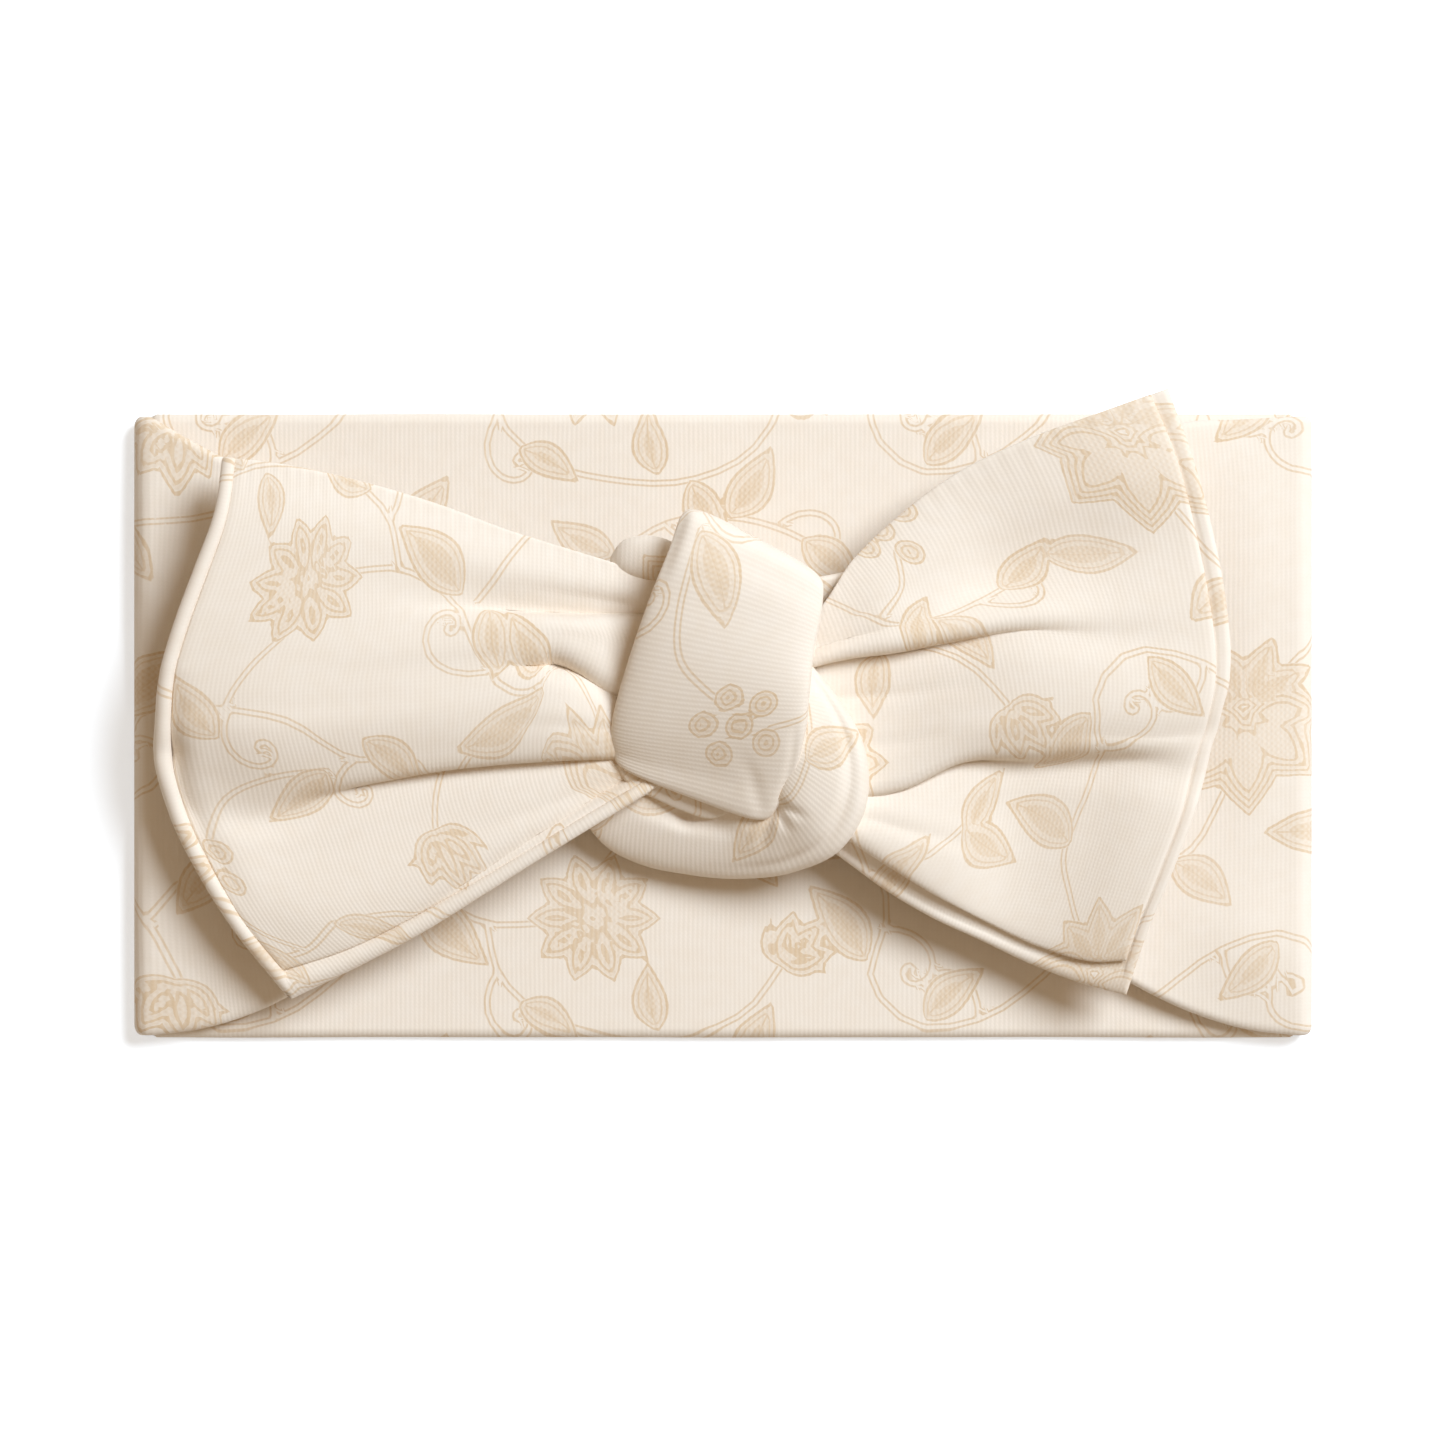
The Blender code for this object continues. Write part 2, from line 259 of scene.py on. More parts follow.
# (base, angle, length, width, the side that it bows to)
LEAVES = (
    ((46, 52), 18, 18, 9.6, 1),
    ((48, 48), -70, 16, 8.4, -1),
    ((14, 44), 205, 18, 9.2, 1),
    ((57, 32), 92, 14, 7.4, 1),
    ((62, 28), -46, 18, 9.4, -1),
    ((80, 54), 132, 15, 7.8, 1),
    ((88, 60), 40, 17, 8.8, 1),
    ((106, 53), -54, 15, 7.6, 1),
    ((13, 16), 128, 18, 9, -1),
    ((24, 5), 40, 15, 7.6, 1),
    ((44, 92), 140, 15, 8, 1),
    ((57, 96), 48, 15, 7.6, -1),
    ((121, 40), 30, 16, 8.2, 1),
    ((122, 42), -62, 14, 7.2, -1),
    ((98, 92), 152, 14, 7.2, 1),
    ((119, 99), 58, 16, 8.2, -1),
    ((133, 95), -44, 15, 7.8, 1),
    ((142, 88), 0, 17, 8.6, 1),
    ((106, 3), 98, 13, 6.8, 1),
    ((112, 2), -58, 15, 7.6, -1),
    ((80, 8), -30, 13, 6.6, 1),
)
STEMS = (
    ((32, 60), (36, 54), (46, 51), (56, 46), (60, 37), (65, 28), (74, 23), (84, 23)),
    ((46, 51), (56, 56), (65, 65), (70, 77)),
    ((88, 60), (98, 61), (107, 65), (111, 71), (114, 77)),
    ((66, 66), (72, 58), (82, 58), (92, 51), (104, 48), (114, 46), (121, 40)),
    ((14, 38), (17, 25), (14, 12), (22, 4), (34, 5), (46, 13), (59, 29)),
    ((26, 62), (18, 54), (13, 46), (14, 38)),
    ((96, 34), (102, 42), (106, 50)),
    ((34, 80), (40, 90), (54, 96), (72, 95), (86, 91), (98, 92)),
    ((98, 92), (108, 98), (120, 99), (133, 95), (142, 88)),
    ((108, 97), (114, 92), (117, 85)),
    ((74, 23), (76, 14), (84, 6), (98, 2), (112, 2), (123, 7), (129, 15)),
)
# (base, angle, size, turn)
CURLS = (
    ((58, 44), 10, 9, -1),
    ((76, 14), -130, 8, 1),
    ((16, 22), 10, 8, -1),
    ((104, 48), 60, 7.5, 1),
    ((40, 90), 40, 7.5, -1),
    ((34, 5), 80, 7.5, 1),
    ((82, 58), 20, 7.5, 1),
    ((128, 97), 50, 7.5, -1),
)


def bell(ink, base, angle, size):
    """A flower that hangs from its stem: three petals between two turned-back ones."""
    for turn, length in ((-30, 1.0), (0, 1.2), (30, 1.0)):
        ink.leaf(base, angle + turn, size * length, size * 0.58, veined=False)
    for turn in (-56, 56):
        ink.leaf(base, angle + turn, size * 0.85, size * 0.3, bend=0.4, veined=False)


def draw_print(ink):
    """One repeat of the print: an open bloom, a round bloom, bells, berries, leaves and tendrils."""
    petals = ((6, 16, 11.5), (49, 18, 13), (92, 19, 13.5), (135, 18, 13), (176, 15, 11.5))
    for angle, length, width in petals:
        ink.leaf((30, 66), angle, length, width, fullness=0.82, veined=False)
    for angle in (-154, -114, -66, -26):
        ink.leaf((30, 64), angle, 13.5, 7.6, fullness=0.8)
    rings = ((12.6, 6, 10, 0), (8.8, 4.4, 9, 18), (4.8, 3.2, 7, 5))
    for ring, (length, width, count, turn) in enumerate(rings):
        for k in range(count):
            angle = turn + 360 * k / count
            ink.leaf((94, 24), angle, length, width, fullness=1.2 - 0.1 * ring, veined=False)
    bell(ink, (70, 77), 88, 12)
    bell(ink, (129, 15), 46, 11)
    berries = ((112, 76), (117.4, 72.6), (117, 79.4), (122.6, 76.2), (112.4, 82.6), (119.6, 84.8))
    for centre in berries:
        ink.berry(centre, 2.6)
    for base, angle, length, width, side in LEAVES:
        ink.leaf(base, angle, length, width, side * LEAF_BEND)
    for stem in STEMS:
        ink.stem_through(stem)
    for base, angle, size, turn in CURLS:
        ink.tendril(base, angle, size, turn)


def printed(places, shift):
    """The four distances of the print for each place on the cloth, shape (n, 4)."""
    ink = Ink(places * PRINT_SCALE + np.asarray(shift, float))
    draw_print(ink)
    return np.column_stack([ink.petal, ink.stem_side, ink.stem, ink.vein])


# ---------------- meshes


def make_mesh(name, points, faces, places, shift):
    """An object with the print's distances and its place on the flat cloth kept at each point."""
    mesh = bpy.data.meshes.new(name)
    faces = np.asarray(faces)
    mesh.vertices.add(len(points))
    mesh.vertices.foreach_set("co", (np.asarray(points, np.float64) * MM).astype(np.float32).ravel())
    mesh.loops.add(faces.size)
    mesh.loops.foreach_set("vertex_index", faces.astype(np.int32).ravel())
    mesh.polygons.add(len(faces))
    mesh.polygons.foreach_set("loop_start", np.arange(0, faces.size, faces.shape[1], dtype=np.int32))
    mesh.update(calc_edges=True)
    mesh.shade_smooth()
    ink = printed(places, shift)
    held = {"cloth": np.column_stack([places, ink[:, 3]]), "ink": ink[:, :3]}
    for attribute, values in held.items():
        data = mesh.attributes.new(attribute, "FLOAT_VECTOR", "POINT").data
        data.foreach_set("vector", values.astype(np.float32).ravel())
    obj = bpy.data.objects.new(name, mesh)
    bpy.context.scene.collection.objects.link(obj)
    return obj


def grid_faces(rows, columns):
    i, j = np.meshgrid(np.arange(rows - 1), np.arange(columns - 1), indexing="ij")
    a = (i * columns + j).ravel()
    return np.column_stack([a, a + columns, a + columns + 1, a + 1])


UNDERSIDE_SHIFT = (41.0, 17.0)  # the print of a sheet's underside is another part of the same cloth


def cloth_shell(name, middle, half, places, shift):
    """A sheet of cloth round a grid of points, closed at its borders; `half` is half its thickness."""
    rows, columns, _ = middle.shape
    border = np.ones((rows, columns), bool)
    border[1:-1, 1:-1] = False
    half = np.where(border, 0, half)
    normals = grid_normals(middle)
    top = (middle + normals * half[..., None]).reshape(-1, 3)
    low = (middle - normals * half[..., None]).reshape(-1, 3)
    inner = ~border.ravel()
    low_index = np.arange(rows * columns)
    low_index[inner] = rows * columns + np.arange(inner.sum())
    flat = places.reshape(-1, 2)
    quads = grid_faces(rows, columns)
    facing = np.cross(top[quads[:, 1]] - top[quads[:, 0]], top[quads[:, 3]] - top[quads[:, 0]])
    if (facing * normals.reshape(-1, 3)[quads[:, 0]]).sum() < 0:
        quads = quads[:, ::-1]
    points = np.vstack([top, low[inner]])
    faces = np.vstack([quads, low_index[quads][:, ::-1]])
    return make_mesh(name, points, faces, np.vstack([flat, flat[inner] + UNDERSIDE_SHIFT]), shift)


def rim(distance, half, reach):
    """Half the cloth's thickness at a distance from its edge: a round rim, then level."""
    share = np.clip(distance / reach, 0, 1)
    return half * np.sqrt(1 - (1 - share) ** 2)


CREASE_FADE = 1.2  # a crease reaches its full depth this high above the middle of a roll


def cloth_tube(name, rings, pitch, shift, around, creases=()):
    """A closed roll of cloth. `rings` has one closed ring of points per station along the roll."""
    rings = np.asarray(rings, float)
    knots = chord_knots(rings)
    sections = smooth(knots, rings, spread(knots[-1], pitch))
    # Each section goes on a little past its start and its end, so that the curve round it closes smoothly.
    wrapped = np.concatenate([sections[:, -2:], sections, sections[:, :3]], axis=1)
    count = rings.shape[1]
    at = np.linspace(0, count, around, endpoint=False)
    grid = smooth(np.arange(-2.0, count + 3), wrapped.transpose(1, 0, 2), at).transpose(1, 0, 2)
    middles = grid.mean(axis=1)
    on_top = np.clip((grid[..., 2] - middles[:, None, 2]) / CREASE_FADE, 0, 1)
    for path, depth, width in creases:
        press(grid, path, depth, width, on_top)
    u = np.concatenate([[0.0], np.cumsum(np.linalg.norm(np.diff(middles, axis=0), axis=1))])
    steps = np.linalg.norm(np.diff(grid, axis=1, append=grid[:, :1]), axis=-1)
    v = np.concatenate([np.zeros((len(grid), 1)), np.cumsum(steps, axis=1)[:, :-1]], axis=1)
    places = np.dstack([np.broadcast_to(u[:, None], v.shape), v]).reshape(-1, 2)
    places = np.vstack([places, [u[0], 0], [u[-1], 0]])
    points = np.vstack([grid.reshape(-1, 3), middles[:1], middles[-1:]])
    return make_mesh(name, points, tube_triangles(points, len(grid), around), places, shift)


def tube_triangles(points, stations, around):
    """The triangles of a roll, facing out; its two end caps meet in the last two points."""
    i, k = np.meshgrid(np.arange(stations - 1), np.arange(around), indexing="ij")
    a, b = (i * around + k).ravel(), (i * around + (k + 1) % around).ravel()
    quads = np.column_stack([a, b, b + around, a + around])
    k = np.arange(around)
    after = (k + 1) % around
    last = (stations - 1) * around
    centres = np.full(around, len(points) - 2)
    caps = np.stack([
        np.column_stack([after, k, centres]),
        np.column_stack([last + k, last + after, centres + 1]),
    ], axis=1).reshape(-1, 3)
    corner = points[quads]
    # Six times the volume that the sides enclose with the origin, which is negative if they face in.
    volume = np.einsum("ij,ij->i", corner[:, 0], np.cross(corner[:, 1], corner[:, 2])).sum()
    volume += np.einsum("ij,ij->i", corner[:, 0], np.cross(corner[:, 2], corner[:, 3])).sum()
    if volume < 0:
        quads = quads[:, ::-1]
        caps = caps[:, [1, 0, 2]]
    return np.vstack([quads[:, [0, 1, 2]], quads[:, [0, 2, 3]], caps])


# ---------------- materials


class Value:
    """A number socket that adds, multiplies and so on by making Math nodes."""

    def __init__(self, tree, socket):
        self.tree = tree
        self.socket = socket

    def math(self, operation, *others):
        node = self.tree.nodes.new("ShaderNodeMath")
        node.operation = operation
        for place, value in enumerate((self, *others)):
            if isinstance(value, Value):
                self.tree.links.new(value.socket, node.inputs[place])
            else:
                node.inputs[place].default_value = value
        return Value(self.tree, node.outputs[0])

    def __add__(self, other):
        return self.math("ADD", other)

    def __sub__(self, other):
        return self.math("SUBTRACT", other)

    def __mul__(self, other):
        return self.math("MULTIPLY", other)

    def band(self, low, high, soft):
        """1 between low and high, 0 outside, with soft edges."""
        return self.step(low, soft) * self.step(high, -soft)

    def step(self, edge, soft):
        """0 to 1 as this passes `edge`; the other way with a negative softness."""
        node = self.tree.nodes.new("ShaderNodeMapRange")
        node.interpolation_type = "SMOOTHSTEP"
        self.tree.links.new(self.socket, node.inputs["Value"])
        node.inputs["From Min"].default_value = edge - abs(soft)
        node.inputs["From Max"].default_value = edge + abs(soft)
        rising = soft > 0
        node.inputs["To Min"].default_value = 0.0 if rising else 1.0
        node.inputs["To Max"].default_value = 1.0 if rising else 0.0
        return Value(self.tree, node.outputs["Result"])

    def wave(self):
        """A cosine of this many turns, from 0 to 1."""
        return (self * (2 * math.pi)).math("COSINE") * 0.5 + 0.5


def parts_of(tree, attribute):
    """The three numbers that an attribute holds at each point."""
    node = tree.nodes.new("ShaderNodeAttribute")
    node.attribute_name = attribute
    split = tree.nodes.new("ShaderNodeSeparateXYZ")
    tree.links.new(node.outputs["Vector"], split.inputs[0])
    return [Value(tree, socket) for socket in split.outputs]


def noise(tree, coordinates, scale, detail):
    node = tree.nodes.new("ShaderNodeTexNoise")
    node.inputs["Scale"].default_value = scale
    node.inputs["Detail"].default_value = detail
    tree.links.new(coordinates, node.inputs["Vector"])
    return Value(tree, node.outputs["Fac"])


def camera_ray(tree):
    """1 where the camera sees the surface directly, 0 for the light that the surface sends elsewhere."""
    return Value(tree, tree.nodes.new("ShaderNodeLightPath").outputs["Is Camera Ray"])


def mixed(tree, amount, first, second):
    """The colour between two, each a colour or a socket, by an amount from 0 to 1."""
    node = tree.nodes.new("ShaderNodeMix")
    node.data_type = "RGBA"
    tree.links.new(amount.socket, node.inputs["Factor"])
    for name, colour in (("A", first), ("B", second)):
        socket = next(s for s in node.inputs if s.name == name and s.type == "RGBA")
        if isinstance(colour, tuple):
            socket.default_value = (*colour, 1.0)
        else:
            tree.links.new(colour, socket)
    return next(s for s in node.outputs if s.type == "RGBA")


def strongest(*values):
    """The largest of several values."""
    found = values[0]
    for value in values[1:]:
        found = found.math("MAXIMUM", value)
    return found


WALE = 0.75  # from one rib of the knit to the next
COURSE = 0.62  # from one stitch to the next along a rib
BUMP_DEPTH = 0.00006  # metres from the bottom of the knit's relief to its top
CREAM, CREAM_DEEP = (0.89, 0.802, 0.7), (0.875, 0.778, 0.665)
INSIDE, INSIDE_DEEP = (0.9, 0.81, 0.705), (0.885, 0.785, 0.67)
INK_LIGHT = (0.77, 0.6, 0.41)
INK_DARK = (0.68, 0.495, 0.305)
# Painted shade in the grooves between stitches: the share of the deeper colour that they take.
GROOVE_SHADE_TINT = (0.8, 0.74, 0.66)  # what the grooves between stitches take of the deeper colour
SHEEN_TINT = (1.0, 0.97, 0.92, 1.0)

# The print's lines, in millimetres of its drawing; less than zero is inside a petal or a leaf.
ECHO_PITCH = 1.02  # between the lines inside one another in a petal
ECHO_DEPTH = 3.7  # how far in from the outline they go
HATCHES = 6.1  # radians of the hatching to a millimetre of cloth
VEINLESS = 7.0  # farther from a vein than this, it is a petal without one


def drawn_lines(u, v, ink, vein, wobble):
    """How strongly the print marks the cloth, from 0 to 1. A band is (from, to, softness) of a distance."""
    petal, stem_side, stem = ink
    edge = petal + wobble
    is_leaf = vein.step(VEINLESS, -1.0)
    turns = edge * (2 * math.pi / ECHO_PITCH) + 1.2
    echoes = turns.math("COSINE").step(0.25, 0.35) * edge.band(-ECHO_DEPTH, 0.1, 0.08)
    outlines = edge.band(-0.44, 0.04, 0.1).math("MAXIMUM", edge.band(-1.28, -0.92, 0.1) * 0.85)
    hatch = ((u + v) * HATCHES).math("SINE") * 0.5 + ((u - v) * HATCHES).math("SINE") * 0.5
    fill = edge.step(-1.95, -0.2) * (hatch * 0.2 + 0.72) * is_leaf
    tint = edge.step(-0.5, -0.2) * (hatch * 0.15 + 0.36)
    spine = vein.band(-0.18, 0.18, 0.08) * edge.step(-1.0, -0.2) * 0.9
    outside = edge.step(0.12, 0.12)
    line = stem_side.math("ABSOLUTE").band(0.3, 0.66, 0.1) * stem.step(1.0, -0.1) * outside
    petals = echoes + (outlines - echoes) * is_leaf
    return strongest(petals, fill, tint, spine, line * 0.9)


def knit_material(name, cream, deep):
    """Interlock jersey with the tonal print."""
    material = bpy.data.materials.new(name)
    material.use_nodes = True
    tree = material.node_tree
    shader = tree.nodes["Principled BSDF"]
    u, v, vein = parts_of(tree, "cloth")
    ink = parts_of(tree, "ink")
    place = tree.nodes.new("ShaderNodeCombineXYZ")
    tree.links.new(u.socket, place.inputs[0])
    tree.links.new(v.socket, place.inputs[1])
    flat = place.outputs[0]

    # The ribs run across the cloth, and each is a column of stitches shaped like a V.
    phase = (u + noise(tree, flat, 0.05, 1.0) * 0.8) * (1 / WALE)
    rib = phase.wave()
    slant = phase.math("PINGPONG", 0.5) * 0.9
    stitch = (v * (1 / COURSE) + slant).wave()
    yarn = noise(tree, flat, 2.4, 3.0)
    height = rib * 0.62 + stitch * rib * 0.3 + yarn * 0.5

    # A petal is drawn with lines inside one another, and a leaf with two lines, a vein and a hatched middle.
    wobble = (noise(tree, flat, 1.1, 2.0) - 0.5) * 0.3
    drawn = drawn_lines(u, v, ink, vein, wobble)
    broken = (rib * 0.2 + yarn * 0.5 + 0.55).math("MINIMUM", 1.0)
    fading = noise(tree, flat, 0.06, 1.0) * 0.7 + 0.55
    amount = (drawn * broken * fading).math("MINIMUM", 0.95)

    mottle = noise(tree, flat, 0.35, 4.0)
    cloth = mixed(tree, mottle.step(0.5, 0.28), cream, deep)
    # Painted shade: the grooves between the ribs and between the stitches are a little darker.
    groove_shade = rib.step(0.3, -0.3) * 0.03 + stitch.step(0.25, -0.25) * 0.045
    groove_shade_colour = tuple(part * tint for part, tint in zip(deep, GROOVE_SHADE_TINT, strict=True))
    shaded = mixed(tree, groove_shade, cloth, groove_shade_colour)
    ink_colour = mixed(tree, mottle, INK_LIGHT, INK_DARK)
    tree.links.new(mixed(tree, amount, shaded, ink_colour), shader.inputs["Base Color"])

    rough = yarn * 0.12 + 0.8
    tree.links.new(rough.socket, shader.inputs["Roughness"])
    shader.inputs["Specular IOR Level"].default_value = 0.22
    shader.inputs["Sheen Weight"].default_value = 0.22
    shader.inputs["Sheen Roughness"].default_value = 0.6
    shader.inputs["Sheen Tint"].default_value = SHEEN_TINT
    bump = tree.nodes.new("ShaderNodeBump")
    bump.inputs["Strength"].default_value = 0.42
    bump.inputs["Distance"].default_value = BUMP_DEPTH
    tree.links.new(height.socket, bump.inputs["Height"])
    tree.links.new(bump.outputs["Normal"], shader.inputs["Normal"])
    return material


KNIT = knit_material("printed_interlock", CREAM, CREAM_DEEP)
LINING = knit_material("printed_interlock_inside", INSIDE, INSIDE_DEEP)


def dress(obj, material):
    obj.data.materials.append(material)


# ---------------- the band

BAND_PITCH = 0.9  # between the points of the band's surfaces
RIM_REACH = 1.1  # how far in from an edge of the band its roundness goes
CALM_REACH = 12.0  # the waves of the back half die away over this much beside the side folds
FOLD_STEPS = 14
BEND_LEAD = 1.5  # a place this far inside the side fold, which build_band_front works out but does not use
LEVEL = FRONT_TOP - HALF_BAND  # the middle of the front half beside the side folds

# Rails of the front half from its upper to its lower edge. Each runs from the side fold in to the gather,
# where the levels alternate to make the pleats. X counts outward on both sides.
FRONT_LEFT_RAILS = [
    [(FOLD_X, 49.9, LEVEL), (85, 45.6, 4.8), (77, 41.6, 5.6),
     (60, 34, 6.8), (40, 25, 8), (18, 19, 9.6), (3, 18, 9.6)],
    [(FOLD_X, 40, LEVEL + 0.8), (86, 37.5, 5.2), (77, 34, 5.4),
     (60, 28, 6.6), (40, 21, 8.4), (18, 15, 8.2), (3, 14, 8.2)],
    [(FOLD_X, 26, LEVEL + 1.2), (87, 25, 5.4), (77, 24, 4.4),
     (60, 19, 5.6), (40, 14, 7.6), (18, 11, 9.8), (3, 11, 9.8)],
    [(FOLD_X, 10, LEVEL + 1), (87, 10, 5.2), (77, 8, 4.4),
     (60, 6, 5.8), (40, 5, 8.2), (18, 6, 8.2), (3, 6, 8.2)],
    [(FOLD_X, -8, LEVEL + 1), (87, -9, 5), (77, -9, 4.4),
     (60, -6, 6), (40, -3, 7.6), (18, 0, 9.8), (3, 0, 9.8)],
    [(FOLD_X, -24, LEVEL + 0.8), (86, -25, 4.9), (77, -25, 4.6),
     (60, -19, 5.8), (40, -11, 8.2), (18, -5, 8.2), (3, -5, 8.2)],
    [(FOLD_X, -38, LEVEL + 0.6), (85, -38, 4.8), (76, -37, 5),
     (58, -28, 6.4), (38, -17, 8), (18, -9, 9.4), (3, -9, 9.4)],
    [(FOLD_X, -49.9, LEVEL), (84.4, -48.9, 4.3), (74.5, -45.8, 4.9),
     (55, -34, 6.6), (36, -23, 7.8), (18, -12, 8.8), (3, -12, 8.8)],
]
FRONT_RIGHT_RAILS = [
    [(FOLD_X, 49.9, LEVEL), (84, 49.4, 4.4), (75, 49, 5.4),
     (58, 43, 6.8), (38, 32, 8), (20, 24.8, 11.9), (3, 22.4, 12)],
    [(FOLD_X, 40, LEVEL + 0.8), (85, 40, 5.6), (76, 39, 5.6),
     (58, 33, 6.6), (38, 25, 8.4), (20, 20.6, 11.2), (3, 17.4, 11)],
    [(FOLD_X, 26, LEVEL + 1.4), (85, 25, 6.2), (76, 24, 5.4),
     (58, 20, 5.8), (38, 16, 7.8), (20, 14, 10), (3, 12, 10)],
    [(FOLD_X, 10, LEVEL + 1), (85, 9, 5.6), (76, 8, 4.8),
     (58, 6, 6), (38, 7, 8.4), (20, 8, 8.2), (3, 6, 8.2)],
    [(FOLD_X, -8, LEVEL + 1), (85, -9, 5.8), (76, -10, 5.4),
     (58, -6, 6.2), (38, -2, 7.6), (20, 2, 10), (3, 1, 10)],
    [(FOLD_X, -24, LEVEL + 0.7), (85, -25, 5.4), (76, -26, 5.8),
     (58, -19, 6), (38, -10, 8.4), (20, -4, 8.2), (3, -4, 8.2)],
    [(FOLD_X, -38, LEVEL + 1.2), (85, -37.5, 5.9), (76, -36.6, 5.6),
     (58, -28, 6.4), (38, -17, 8), (20, -9, 9.6), (3, -8, 9.4)],
    [(FOLD_X, -49.9, LEVEL), (84.8, -49, 4.3), (76, -46.4, 4.9),
     (56, -36, 6.6), (36, -24, 7.8), (20, -13, 8.8), (3, -12, 8.8)],
]


def ripple(x, y):
    """The gentle waves of cloth lying flat, in millimetres."""
    waves = 0.5 * np.sin(x / 13.0 + y / 31.0) * np.sin(y / 17.0 + 0.7)
    return waves + 0.35 * np.sin(x / 7.1 - y / 23.0 + 1.3) * np.sin(x / 29.0)


def band_nodes(name):
    """The four CAD nodes that make up one part of the band."""
    return [f"{name}_{part}" for part in ("outer", "lining", "upper_seam_thread", "lower_seam_thread")]


def build_band_back():
    x = spread(2 * FOLD_X, BAND_PITCH) - FOLD_X
    y = HALF_WIDTH - spread(2 * HALF_WIDTH, BAND_PITCH, True, True)
    xs, ys = np.meshgrid(x, y)
    rounding = rim(HALF_WIDTH - np.abs(ys), 1.0, RIM_REACH)
    calm = np.clip((FOLD_X - np.abs(xs)) / CALM_REACH, 0, 1)
    half = HALF_BAND * rounding + 0.16 * ripple(xs, ys) * calm * rounding
    places = np.dstack([xs + HALF_LENGTH, ys + HALF_WIDTH])
    obj = cloth_shell("band_back", np.dstack([xs, ys, half]), half, places, (8, 2))
    dress(obj, LINING)
    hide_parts(*band_nodes("band_back"))
    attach(obj, "band_back")


def side_fold(side, grid):
    """The points from under a side fold round to the first column of the front half's grid."""
    angles = np.linspace(-math.pi / 2, math.pi / 2, FOLD_STEPS)[:-1]
    lift = grid[:, :1, 2] - LEVEL
    turned = np.linspace(0, 1, FOLD_STEPS)[:-1] ** 2
    fold = np.zeros((len(grid), len(angles), 3))
    fold[..., 0] = side * (FOLD_X + FOLD_RADIUS * np.cos(angles))
    fold[..., 1] = grid[:, :1, 1]
    fold[..., 2] = HALF_BAND + FOLD_RADIUS + FOLD_RADIUS * np.sin(angles) + lift * turned
    return fold


def build_band_front(label, rails, shift):
    """One side of the front half: from under the side fold, over it, and in to the gather at the knot."""
    side = SIGN[label]
    rails = np.array(rails, float)
    rails[..., 0] *= side
    grid, across, _ = surface(rails, BAND_PITCH, fine_end=False)
    middle = np.concatenate([side_fold(side, grid), grid], axis=1)
    to_edge = np.minimum(across, across[-1] - across)[:, None]
    half = rim(to_edge, HALF_BAND, RIM_REACH)
    name = f"band_front_{label}"
    obj = cloth_shell(name, middle, half, arc_places(middle, len(middle) // 2), shift)
    dress(obj, KNIT)
    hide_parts(*band_nodes(name))
    side * (FOLD_X - BEND_LEAD) * MM
    FRONT_TOP * MM
    FRONT_TOP * MM
    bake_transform(obj)


def build_band():
    build_band_back()
    build_band_front("left", FRONT_LEFT_RAILS, (60, 30))
    build_band_front("right", FRONT_RIGHT_RAILS, (14, 66))


# ---------------- the tie's two ends

FRONT_PITCH, BACK_PITCH = 0.75, 0.95  # between the points of the two panels' surfaces
PANEL_HALF = 0.5  # half the thickness of one soft panel
PANEL_RISE = 0.62  # from the middle of the end to the middle of each panel
PANEL_RIM = 0.6  # how far in from an edge of a panel its roundness goes
SEAM_SHOW = 2.3  # how far the back panel's rolled edge shows past the front panel
ROLL_INSET = 1.1  # from the back panel's edge to the middle of its rolled edge
SEAM_SOFT = 0.9  # how gently the roll and the tuck beside the seam start and end
TUCK_DEPTH = 0.22  # how far the seam pulls the front panel's edge down
GATHER_WAVE = 0.07  # how much the small waves along the upper edge thicken and thin the cloth
GATHER_TURNS = 2.4  # radians of these waves to a millimetre
GATHER_REACH = 5.0  # how far down from the upper edge they go

